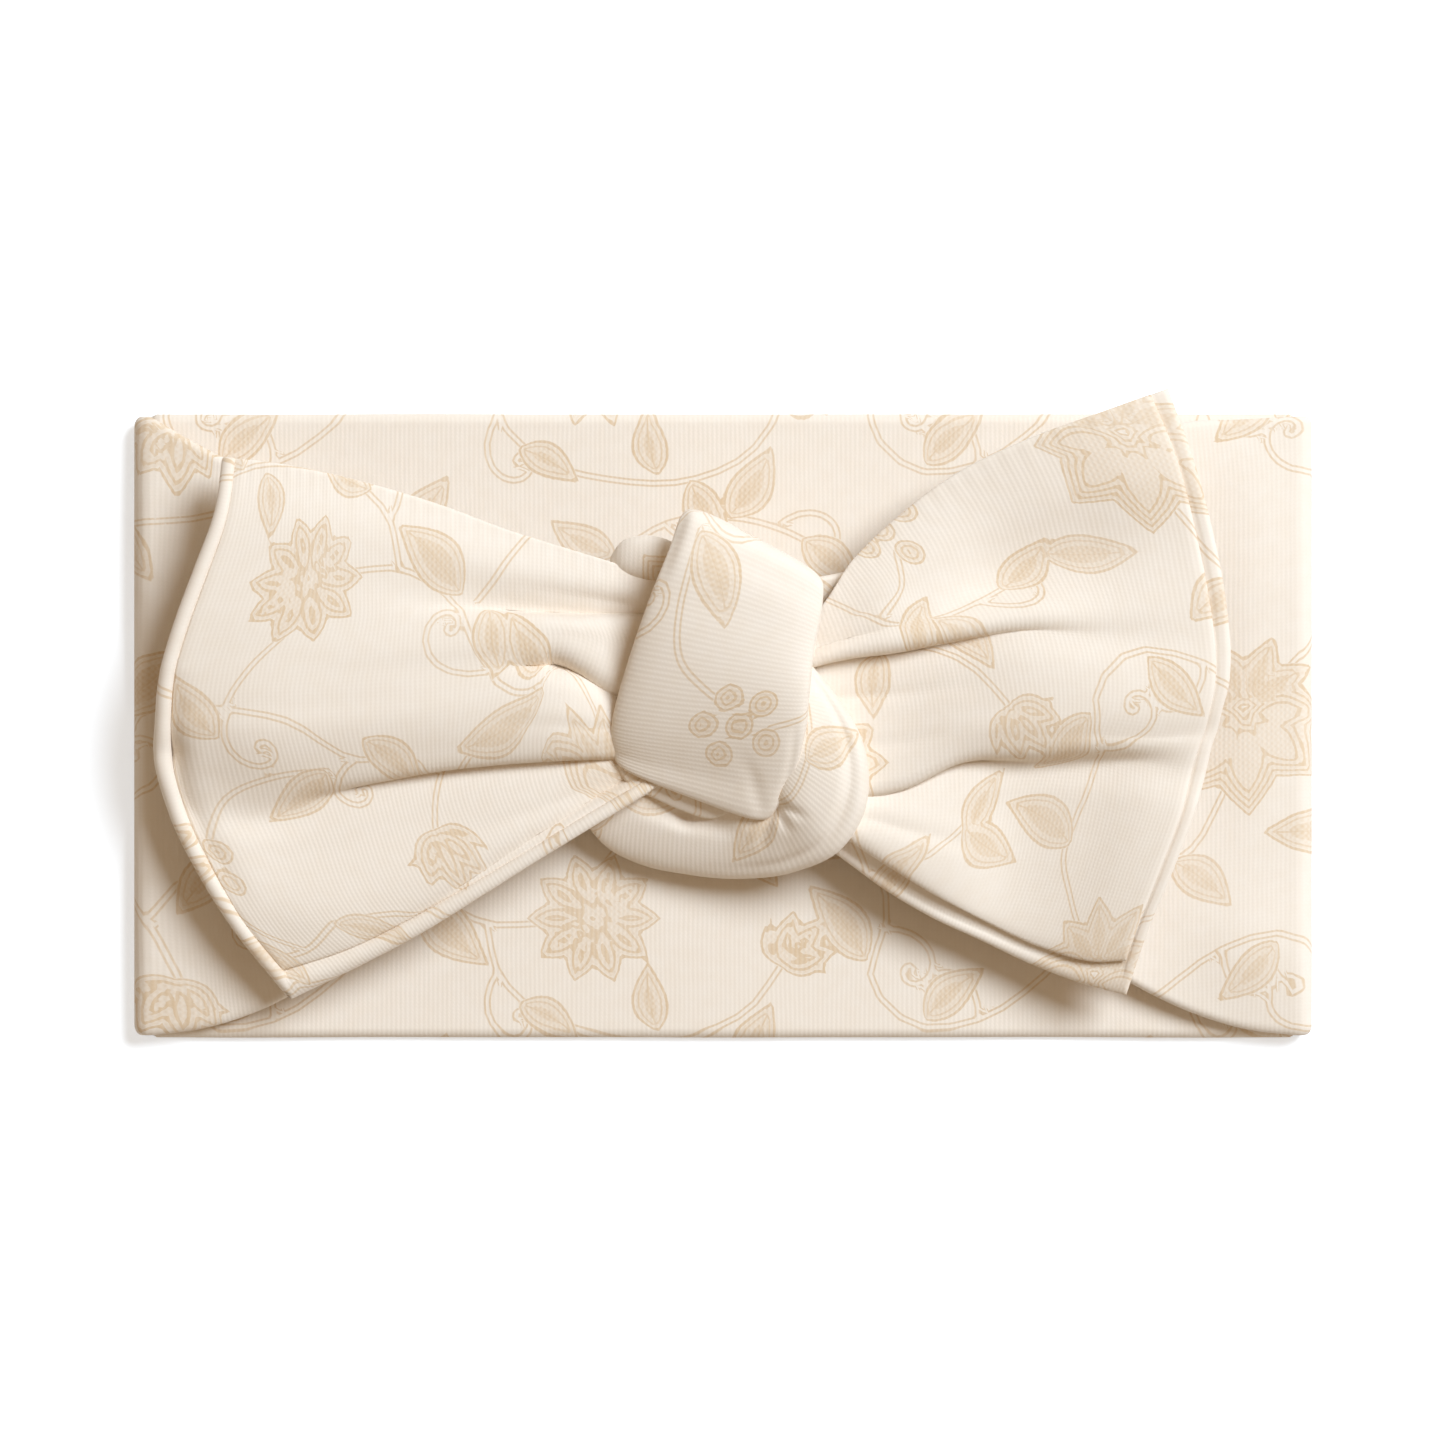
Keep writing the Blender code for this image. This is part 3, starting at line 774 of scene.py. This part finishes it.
# Rails of each end from its upper to its lower edge. Each runs from under the knot out to the sewn end.
LEFT_RAILS = [
    [(-7, 22.5, 13.4), (-17, 25.8, 13), (-25, 28.2, 12.8), (-34, 31, 12.8),
     (-46, 35.4, 13), (-59, 39.2, 13.6), (-70, 41.6, 14.4), (-79.7, 42.8, 15.2)],
    [(-7, 20.5, 13.8), (-17, 21.6, 13.8), (-25, 22.8, 14.2), (-34, 24.6, 14.6),
     (-46, 28, 15.2), (-59, 31, 15.9), (-70, 33, 16.6), (-80.9, 34, 17.2)],
    [(-7, 17, 12.2), (-17, 17.2, 12.2), (-25, 17.3, 12.5), (-34, 17.8, 13.4),
     (-46, 19.4, 15.2), (-59, 21.4, 16.6), (-71, 24, 17.4), (-84.2, 25, 18)],
    [(-7, 16.2, 13.4), (-17, 16.2, 15), (-25, 16.3, 15.9), (-34, 16.5, 16),
     (-46, 16.8, 16.3), (-59, 17, 17), (-73, 17.5, 17.9), (-87, 17.5, 18.2)],
    [(-7, 12, 12), (-16, 12.2, 14.9), (-24, 14.4, 16.6), (-34, 13.4, 17),
     (-46, 12.4, 17.2), (-60, 11.8, 17.6), (-75, 11.2, 18.1), (-89.2, 10.5, 18)],
    [(-7, 6, 12), (-17, 6.7, 14.6), (-24.6, 10.8, 16), (-33.4, 11, 16.7),
     (-46, 9.6, 17.2), (-60.6, 8.4, 17.7), (-75.6, 8, 18.2), (-89.8, 7.8, 17.8)],
    [(-7, 3.6, 11.6), (-17, 4.7, 12.6), (-24.6, 8.9, 12.9), (-33, 9.4, 16.2),
     (-46, 7.6, 17.3), (-61, 6, 17.8), (-76, 5.4, 18.2), (-90.2, 5.2, 17.6)],
    [(-7, 1.6, 12), (-17, 3.2, 14.3), (-24.8, 7.2, 16), (-33.4, 7.4, 16.9),
     (-46, 5.6, 17.5), (-61, 3.8, 17.8), (-76, 3, 18.1), (-90.4, 3, 17.2)],
    [(-7, -0.8, 12.6), (-17, 0.4, 14.8), (-25, 3.2, 17), (-34, 3.6, 17.3),
     (-46, 2, 17.6), (-61, 0.2, 17.8), (-76, -0.4, 18), (-90.6, 0.2, 16.6)],
    [(-7, -2.5, 12.8), (-17, -2.2, 14.4), (-26, -1.2, 16.5), (-35, -1.6, 16.6),
     (-46, -2.8, 16.4), (-60, -4.8, 16.2), (-75, -5, 16.6), (-90.9, -4, 15.4)],
    [(-7, -4.2, 12.4), (-17, -4.3, 13.4), (-26, -4.6, 14.6), (-35, -5.2, 14.6),
     (-46, -6.4, 14.4), (-59, -8.4, 14.2), (-74, -9.8, 14.2), (-90.4, -8, 14.6)],
    [(-7, -3.4, 12), (-17, -3.2, 12.4), (-26, -3.2, 12.4), (-35, -4, 12.3),
     (-46, -5.4, 12.2), (-59, -9.2, 12.2), (-73.5, -13.4, 12.4), (-89.2, -12, 14)],
    [(-7, -5, 11.6), (-16, -6, 12.3), (-25, -7.6, 12.5), (-34, -9.6, 12.6),
     (-45, -12.5, 12.4), (-57, -16, 12.4), (-71, -19.5, 12.6), (-86.6, -18.5, 13.8)],
    [(-8, -7, 12), (-15, -8.6, 12.4), (-23, -12.2, 12.7), (-31, -16.6, 12.9),
     (-41, -21.4, 12.9), (-53, -26.4, 13), (-65.5, -31, 13.2), (-78.5, -32, 12.8)],
    [(-8.6, -7.4, 12.4), (-14, -11.6, 13.5), (-20.8, -15.8, 13.5), (-29, -20.8, 12.9),
     (-38, -26.6, 12.4), (-48, -33, 11.6), (-58, -38.4, 11), (-69.2, -43.9, 11)],
]
RIGHT_RAILS = [
    [(10, 12, 14), (16.4, 20, 14.4), (20.6, 26.2, 13.8), (27, 32.6, 13.6),
     (37.3, 40.4, 13.8), (49.8, 46.3, 14.6), (60, 50, 14.8), (71.2, 54, 13.8)],
    [(10, 10, 14), (18, 16, 14.8), (24, 21.4, 15.2), (31, 26, 14.4),
     (42, 32.4, 13.2), (54, 37.2, 14), (65, 41, 14.8), (75, 43.4, 14.2)],
    [(10, 9.4, 14), (19, 13.6, 15), (26, 16, 15.8), (33.4, 18, 14.4),
     (45, 22.6, 11.5), (57, 27, 11.9), (68, 29.6, 13.7), (78, 32, 14.8)],
    [(10, 9.2, 14), (19, 11.6, 15), (27, 12.8, 15.5), (36, 14.7, 15.6),
     (48, 17, 15.5), (60, 17.6, 15.3), (70, 18.8, 15.5), (80.2, 21, 15.4)],
    [(10, 9.4, 12.2), (19, 11.5, 12.2), (27, 12.4, 12.4), (36, 13.9, 12.9),
     (48, 15.4, 14.2), (60, 14.6, 15.1), (71, 14.4, 15.5), (81, 14, 15.4)],
    [(10, 6, 12.2), (19, 8, 12), (27, 8.6, 12.4), (37, 9.4, 13.8),
     (49, 10.4, 15.8), (61, 9.8, 16.4), (71.6, 8.8, 16), (81, 8, 15.4)],
    [(10, -1, 12.4), (19, 1, 12.2), (28, 1.6, 12.8), (38, 2.6, 14.6),
     (50, 3, 16.2), (61, 2.6, 16.5), (71, 2, 15.8), (79.8, 2.4, 14.8)],
    [(11, -6, 12.6), (20, -6.6, 12.6), (28, -5.4, 13), (38, -2, 14.4),
     (50, -0.9, 15.6), (60, -1.2, 15.4), (70, -1.6, 14.8), (79, -1, 14)],
    [(12, -9, 12.4), (20, -10.6, 12.7), (28, -9.4, 12.9), (38, -4.8, 13.2),
     (50, -3.8, 14.2), (60, -3, 14.6), (69.6, -3, 14.6), (78.2, -3.2, 14)],
    [(12, -8, 11.2), (20, -9.6, 11.4), (28, -8.6, 11.3), (38, -4.9, 11),
     (50, -5, 11.2), (59.6, -4.6, 11.6), (69, -5.4, 13), (77.2, -7.2, 14)],
    [(12, -9.8, 12), (20, -12.6, 12.8), (28, -13.8, 12.7), (38, -11.6, 11.2),
     (48.6, -10.8, 10.2), (59, -11.4, 11.6), (68, -12.4, 14), (75.4, -13.4, 15.2)],
    [(12, -11.8, 12.6), (19.6, -14.8, 13.2), (27, -18.4, 13.4), (36.4, -21, 12.4),
     (46.4, -22.4, 10.2), (56, -23.6, 11.6), (64, -24, 13.9), (71.4, -24, 15.4)],
    [(12.6, -13.4, 12.4), (19.4, -16.8, 12.8), (26, -21, 12.8), (34, -26, 12),
     (43, -30.6, 10.3), (52, -34, 10.9), (60, -35.4, 12.8), (67.4, -34, 14.4)],
    [(13, -14.4, 11.6), (19.6, -18.2, 11.8), (27, -22.8, 11.6), (33.6, -27.2, 11.1),
     (41.4, -32.6, 10), (49.6, -37.6, 10.1), (57.6, -41.2, 11.7), (64.4, -43.2, 12.9)],
]
# The right end's back panel hangs lower along its lower edge, where it shows under the front one.
RIGHT_BACK_RAILS = RIGHT_RAILS[:-2] + [
    [(12.4, -14.4, 11), (19, -18.6, 11.4), (26, -23, 11.4), (33.6, -27.6, 11),
     (42.4, -31.6, 10), (51.6, -34.6, 10.6), (60, -35.6, 12.5), (67.4, -34, 14.2)],
    [(12, -16.4, 9.6), (18.6, -21, 9.8), (25.6, -26.2, 9.9), (33, -30.6, 9.8),
     (41.2, -34.4, 9.4), (49.6, -38.4, 9.7), (57.6, -41.4, 11.4), (64.4, -43.2, 12.7)],
]

# Each crease is (the points that it runs through, its depth at the first of them, its width).
LEFT_CREASES = [
    ([(-27, 10.3), (-24.5, 8.9), (-21, 6.6)], 1.2, 0.9),
    ([(-26.3, 9.9), (-29.5, 11.6)], 1.5, 1.7),
    ([(-15, 20), (-24, 21.4), (-34, 22.8)], 0.5, 1),
    ([(-15, -0.6), (-27, 0.4), (-40, 0.2)], 0.35, 1.1),
    ([(-16, -8.2), (-30, -13.6), (-46, -19)], 0.4, 1.4),
    ([(-15.7, -8.9), (-22.5, -13.1), (-30.7, -18.1),
      (-39.7, -23.9), (-49.7, -30.3), (-59.7, -35.7)], 1.2, 1.1),
    ([(-87.6, -4), (-87.8, 1), (-86.6, 9)], 1.3, 2),
    ([(-87.6, -4), (-86.4, -11), (-82.6, -19), (-76, -30)], 1.3, 2),
]
RIGHT_CREASES = [
    ([(15, 13.4), (25, 19.4), (37, 27)], 0.4, 1.2),
    ([(15, 12.2), (26, 15.2), (38, 18.8)], 0.35, 1.1),
    ([(18, 4.4), (30, 5.2), (42, 6.8)], 0.4, 1.2),
    ([(18, -4), (30, -2.6), (40, 0)], 0.4, 1.2),
    ([(18, -13.6), (30, -17), (43, -20)], 0.5, 1.4),
]


def trim(rails, cut):
    """The same rails without the outermost `cut` at the lower edge and at the end."""
    rails = np.asarray(rails, float)
    along_knots = chord_knots(rails.transpose(1, 0, 2))
    across_knots = chord_knots(rails)
    stations = np.append(along_knots[:-1], along_knots[-1] - cut)
    rails = smooth(along_knots, rails.transpose(1, 0, 2), stations).transpose(1, 0, 2)
    return smooth(across_knots, rails, np.append(across_knots[:-1], across_knots[-1] - cut))


def tail_surface(rails, pitch, creases):
    """(points, distances to a sewn edge, half thickness, waves along the upper edge) of one panel."""
    grid, across, along = surface(rails, pitch, fine_end=True)
    for path, depth, width in creases:
        press(grid, path, depth, width)
    to_seam = np.minimum((across[-1] - across)[:, None], along[-1] - along)
    to_edge = np.minimum(to_seam, across[:, None])
    fade = np.clip(1 - across[:, None] / GATHER_REACH, 0, 1)
    waves = GATHER_WAVE * np.sin(along * GATHER_TURNS)[None, :] * fade * (to_seam > 1)
    return grid, to_seam, rim(to_edge, PANEL_HALF, PANEL_RIM), waves


def finish_panel(label, panel, grid, raised, half, places, shift, nodes):
    """Makes one panel of an end, raised from the end's middle surface."""
    middle = grid + grid_normals(grid) * raised[..., None]
    obj = cloth_shell(f"{label}_tail_{panel}", middle, half, places, shift)
    dress(obj, KNIT)
    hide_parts(*(f"{label}_{node}" for node in nodes))
    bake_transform(obj)


def build_tail(label, rails, back_rails, creases, anchor_share, shift, bead):
    """One end's two panels; `bead` is how much the back one is raised and thickened in its rolled edge."""
    grid, to_seam, half, waves = tail_surface(trim(rails, SEAM_SHOW), FRONT_PITCH, creases)
    raised = PANEL_RISE - TUCK_DEPTH * np.exp(-((to_seam / SEAM_SOFT) ** 2))
    places = arc_places(grid, int(anchor_share * len(grid)))
    nodes = ("tail_front_panel", "neck")
    finish_panel(label, "front", grid, raised, half + waves, places, shift, nodes)

    grid, to_seam, half, waves = tail_surface(back_rails, BACK_PITCH, creases)
    roll = bead * np.exp(-(((to_seam - ROLL_INSET) / SEAM_SOFT) ** 2))
    half = half + roll * rim(to_seam, 1, 1.0) + waves
    places = arc_places(grid, int(anchor_share * len(grid)))
    nodes = ("tail_back_panel", "tail_end_seam_thread", "tail_lower_seam_thread")
    finish_panel(label, "back", grid, roll - PANEL_RISE, half, places, shift, nodes)


def build_tails():
    build_tail("left", LEFT_RAILS, LEFT_RAILS, LEFT_CREASES, 0.4, (20, 40), 0.8)
    build_tail("right", RIGHT_RAILS, RIGHT_BACK_RAILS, RIGHT_CREASES, 0.45, (88, 8), 0.2)


# ---------------- the knot

# Sections of each roll of the knot, one per station along it: left edge, right edge, the way that the crown
# faces, the crown's height, the depth underneath and, on the lower roll, the groove near its right edge.

# The wrap over the front: up from behind its top edge, over, and tucked in at the bottom.
WRAP = [
    ((-1, 24, 9), (9, 19, 9), (0.2, 1, -0.4), 2.4, 2.4),
    ((-4.4, 30, 13), (12.5, 20.8, 12), (0.4, 1, -0.1), 2.6, 2.6),
    ((-6, 33.8, 17.5), (15.2, 22.6, 16.5), (0.45, 0.9, 0.2), 2, 2.6),
    ((-6.8, 33.2, 21.2), (15.8, 21.8, 19.6), (0.35, 0.7, 0.7), 2.2, 3.8),
    ((-8.4, 28.6, 22.8), (15.7, 18.6, 20.8), (0.15, 0.4, 1), 2.4, 6),
    ((-11.8, 20, 21.8), (14.6, 13, 22), (0, 0.1, 1), 2.6, 7),
    ((-15.5, 9, 18.6), (13.6, 5, 22.8), (-0.2, -0.2, 1), 2.7, 5.2),
    ((-17.6, 1.2, 15.8), (12.9, -1.8, 20.9), (-0.3, -0.46, 1), 2.6, 2.8),
    ((-17.7, -3.2, 13.9), (10.8, -9, 17.4), (-0.36, -0.78, 1), 2.2, 1.4),
    ((-16, -5.2, 13.2), (7.4, -14.2, 14.4), (-0.35, -1, 0.5), 2.2, 1.2),
    ((-12.4, -4.4, 12.8), (6, -13.2, 13.8), (-0.3, -1, -0.3), 1.5, 1),
    ((-9, -2, 13.2), (5, -8, 13.6), (-0.2, -0.6, -1), 0.9, 0.9),
]
WRAP_CREASES = [
    ([(-6.4, 33.6), (-8.4, 27.6), (-10.4, 22)], 1.2, 1.1),
    ([(9.6, -11.4), (11, -5), (11.6, 1)], 0.5, 0.8),
    ([(6, -13), (4.6, -8), (2, -3)], 0.35, 1.1),
]
# The turned-in edge of the wrap, which shows as a lip under the wrap's lower edge.
INNER_FOLD = [
    ((-15.4, -3.4, 13), (-17.2, -6.4, 12.8), (-0.2, -0.3, 1), 1.2, 1),
    ((-13.4, -3.6, 12.8), (-15.2, -9.2, 12.2), (-0.2, -0.4, 1), 1.4, 1.3),
    ((-9.2, -5.4, 12.4), (-10.8, -11.6, 11.6), (-0.15, -0.4, 1), 1.4, 1.3),
    ((-5, -7.4, 12.4), (-6.2, -13.6, 11.6), (-0.1, -0.4, 1), 1.3, 1.2),
    ((-1, -9.4, 12.6), (-1.8, -14.8, 11.9), (0, -0.4, 1), 1, 0.9),
    ((2, -10.8, 13.2), (1.6, -13.6, 13), (0, -0.4, 1), 0.6, 0.6),
]
# The soft lobe that stands out between the wrap's upper left corner and the left end.
REAR_FOLD = [
    ((-18.2, 25.9, 12.4), (-18, 27, 12.4), (0, 0, 1), 0.5, 0.5),
    ((-16.8, 24.4, 12.6), (-16.6, 29.2, 12.6), (0, 0, 1), 1.8, 1.2),
    ((-14, 23.4, 13), (-13.6, 30.4, 13), (0, 0, 1), 2.7, 1.6),
    ((-10.6, 23, 13.4), (-10.2, 30.2, 13.4), (0, 0, 1), 2.8, 1.8),
    ((-7, 23.2, 13.6), (-7, 28.8, 13.6), (0, 0, 1), 2.2, 1.6),
    ((-4, 23.6, 13.6), (-4, 26.4, 13.6), (0, 0, 1), 1, 1),
]
# The wide roll that comes out under the wrap's right edge and passes below it.
LOWER_ROLL = [
    ((-20.4, -12.2, 10.4), (-22.2, -15.4, 9), (-0.35, -0.5, 1), 0.9, 0.8, 0),
    ((-17.6, -11, 11), (-19, -19, 6.6), (-0.35, -0.8, 1), 1.5, 1.2, 0),
    ((-12.8, -10.2, 10.8), (-13.8, -21.7, 5.2), (-0.4, -0.8, 1), 2.4, 1.4, 0),
    ((-5.6, -10.6, 10.8), (-6, -23.4, 5.4), (-0.35, -0.8, 1), 3, 1.6, 0),
    ((1.5, -11, 11.6), (3, -24.1, 6.8), (-0.2, -0.7, 1), 3.4, 2.2, 0.04),
    ((6.5, -10.2, 13.6), (11.5, -23.1, 9.6), (0, -0.45, 1), 3.8, 3, 0.16),
    ((8.5, -8, 15.2), (18.4, -20.1, 12.8), (0, -0.2, 1), 4.2, 3.6, 0.24),
    ((8.8, -4.6, 15.8), (22.4, -14.4, 14.5), (0, 0, 1), 4.2, 3.8, 0.26),
    ((8.8, -0.8, 16.3), (23.3, -7.6, 15), (0, 0, 1), 4, 3.8, 0.26),
    ((8.6, 3, 16.2), (21.9, -1.4, 15.2), (0, 0, 1), 3.5, 3.2, 0.24),
    ((8.2, 6.6, 16), (18.2, 4.8, 15.2), (0, 0, 1), 2.8, 2.6, 0.2),
    ((7.8, 9.6, 15.6), (14.4, 9.4, 15), (0, 0, 1), 1.6, 1.4, 0.1),
]
LOWER_ROLL_CREASES = [
    ([(8.4, -13.4), (6.6, -17), (5.8, -20)], 0.9, 0.7),
    ([(8.8, -13.4), (10.6, -17.4)], 0.9, 0.7),
    ([(9.2, -12.6), (13.6, -15)], 0.8, 0.7),
    ([(7.6, -14.2), (3.6, -16.6)], 0.6, 0.7),
    ([(-6, -14.2), (-13.6, -12.4)], 1.3, 1.7),
    ([(-6, -14.2), (2.4, -16.4)], 1.3, 1.7),
]
# The strand behind the gather, from the top of the wrap down and up into the lower roll.
BACK_PASS = [
    ((-4, 25.5, 12), (10, 20, 12), (0.2, 1, 0), 1.6, 1.6),
    ((-6, 22.5, 6.4), (11, 20, 6.4), (0, 0.9, -0.5), 1.4, 1.4),
    ((-6.5, 16, 4.6), (11.5, 16, 4.6), (0, 0, -1), 1.2, 1.2),
    ((-6.5, 2, 4.4), (11.5, 2, 4.4), (0, 0, -1), 1.2, 1.2),
    ((-6.5, -11, 4.6), (11.5, -11, 4.6), (0, 0, -1), 1.2, 1.2),
    ((-6, -15, 6), (11, -15.4, 6), (0, -0.9, -0.5), 1.2, 1.2),
    ((-5, -15.4, 8), (10, -16.4, 8), (0, -1, 0), 1.3, 1.3),
    ((-4, -14.8, 9.6), (8, -15.6, 9.6), (0, -1, 0.2), 1, 1),
]

RING_POINTS = 36
GROOVE_PLACE, GROOVE_WIDTH = 0.58, 0.12  # shares of the way from the middle of a section to its right edge


def ring(left, right, normal, crown, under, groove=0.0, *, flat, round_over):
    """A closed section of a flattened roll: from its left edge over the crown to the right, and back under.

    `flat` and `round_over` under 1 make it squarer, and `groove` is a share of the crown's height.
    """
    left, right, normal = (np.asarray(p, float) for p in (left, right, normal))
    normal = normal / np.linalg.norm(normal)
    middle, reach = (left + right) / 2, (right - left) / 2
    points = []
    for k in range(RING_POINTS):
        angle = math.pi - 2 * math.pi * k / RING_POINTS
        c, s = math.cos(angle), math.sin(angle)
        beside = math.copysign(abs(c) ** flat, c)
        rise = (crown if s > 0 else under) * math.copysign(abs(s) ** round_over, s)
        if s > 0:
            rise *= 1 - groove * math.exp(-(((beside - GROOVE_PLACE) / GROOVE_WIDTH) ** 2))
        points.append(middle + reach * beside + normal * rise)
    return points


def knot_piece(name, nodes, stations, flat, pitch, around, shift, creases=(), round_over=0.8):
    """One roll of the knot, which stands for the named CAD nodes and moves with the front half."""
    rings = [ring(*station, flat=flat, round_over=round_over) for station in stations]
    obj = cloth_tube(name, rings, pitch, shift, around, creases)
    dress(obj, KNIT)
    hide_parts(*nodes)
    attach(obj, "front_half")


def build_knot():
    under = ("tie_back_pass", "band_gathered_core")
    knot_piece("tie_back_pass_cloth", under, BACK_PASS, 0.8, 1.0, 64, (33, 61))
    roll = ("knot_lower_roll",)
    knot_piece("knot_lower_roll_cloth", roll, LOWER_ROLL, 0.86, 0.7, 90, (5, 88), LOWER_ROLL_CREASES)
    knot_piece("knot_rear_fold_cloth", ("knot_tack_thread",), REAR_FOLD, 0.95, 0.7, 48, (11, 72))
    knot_piece("knot_inner_fold_cloth", ("knot_crossing_strand",), INNER_FOLD, 0.85, 0.7, 48, (52, 30))
    wrap = ("knot_front_wrap",)
    knot_piece("knot_front_wrap_cloth", wrap, WRAP, 0.46, 0.62, 150, (70, 54), WRAP_CREASES, 0.72)


# ---------------- floor, light and camera

FLOOR_REACH = 3.0
FLOOR_DROP = 0.00005  # the floor lies this little below the band, so that the two don't share a plane
FLOOR_GLOW = 0.52
KEY_BEARING, KEY_RISE, KEY_DISTANCE = 40, 48, 2.2
KEY_COLOUR = (0.79, 0.89, 1.0)
FILL_COLOUR = (1.0, 0.77, 0.53)
FILL_STRENGTH = 0.34
VIEW_WIDTH = 0.2319  # the width of the picture on the object, in metres
VIEW_SHIFT = (-0.0005, -0.0006)  # the object stands a little off the middle of the picture
CAMERA_HEIGHT = 1.2
SENSOR = 36.0


def polar(turn, rise, away):
    """The point at a bearing and a height in degrees, and a distance."""
    turn, rise = math.radians(turn), math.radians(rise)
    level = away * math.cos(rise)
    return Vector((level * math.cos(turn), level * math.sin(turn), away * math.sin(rise)))


def build_floor():
    mesh = bpy.data.meshes.new("floor")
    corners = [(-1, -1), (1, -1), (1, 1), (-1, 1)]
    points = [(FLOOR_REACH * x, FLOOR_REACH * y, -FLOOR_DROP) for x, y in corners]
    mesh.from_pydata(points, [], [(0, 1, 2, 3)])
    floor = bpy.data.objects.new("floor", mesh)
    bpy.context.scene.collection.objects.link(floor)
    material = bpy.data.materials.new("floor")
    material.use_nodes = True
    tree = material.node_tree
    shader = tree.nodes["Principled BSDF"]
    shader.inputs["Base Color"].default_value = (0.92, 0.92, 0.92, 1)
    shader.inputs["Roughness"].default_value = 0.9
    shader.inputs["Specular IOR Level"].default_value = 0.1
    shader.inputs["Emission Color"].default_value = (0.84, 0.92, 1, 1)
    # The floor's own glow whitens it in the picture only; it adds no light to the cloth.
    glow = camera_ray(tree) * FLOOR_GLOW
    tree.links.new(glow.socket, shader.inputs["Emission Strength"])
    mesh.materials.append(material)


def build_light():
    """A warm fill from all round, which the camera sees as white, and a cool key from the upper right."""
    scene = bpy.context.scene
    world = bpy.data.worlds.new("studio")
    scene.world = world
    world.use_nodes = True
    tree = world.node_tree
    background = tree.nodes["Background"]
    fill = tuple(FILL_STRENGTH * part for part in FILL_COLOUR)
    tree.links.new(mixed(tree, camera_ray(tree), fill, (1.0, 1.0, 1.0)), background.inputs["Color"])
    background.inputs["Strength"].default_value = 1.0

    data = bpy.data.lights.new("key", "AREA")
    data.shape = "DISK"
    data.size = 1.1
    data.energy = 56.0
    data.color = KEY_COLOUR
    light = bpy.data.objects.new("key", data)
    scene.collection.objects.link(light)
    light.location = polar(KEY_BEARING, KEY_RISE, KEY_DISTANCE)
    light.rotation_mode = "QUATERNION"
    light.rotation_quaternion = light.location.to_track_quat("Z", "Y")
    scene.view_settings.view_transform = "Standard"
    scene.view_settings.look = "None"


def build_camera():
    """A long lens that looks straight down on the middle of the object."""
    middle = (cad_box[0] + cad_box[1]) / 2
    data = bpy.data.cameras.new("camera")
    data.sensor_width = SENSOR
    data.lens = SENSOR * (CAMERA_HEIGHT - FRONT_TOP * MM) / VIEW_WIDTH
    data.clip_start = 0.05
    camera = bpy.data.objects.new("camera", data)
    bpy.context.scene.collection.objects.link(camera)
    camera.location = (middle.x + VIEW_SHIFT[0], middle.y + VIEW_SHIFT[1], CAMERA_HEIGHT)
    bpy.context.scene.camera = camera


build_band()
build_tails()
build_knot()
build_floor()
build_light()
build_camera()
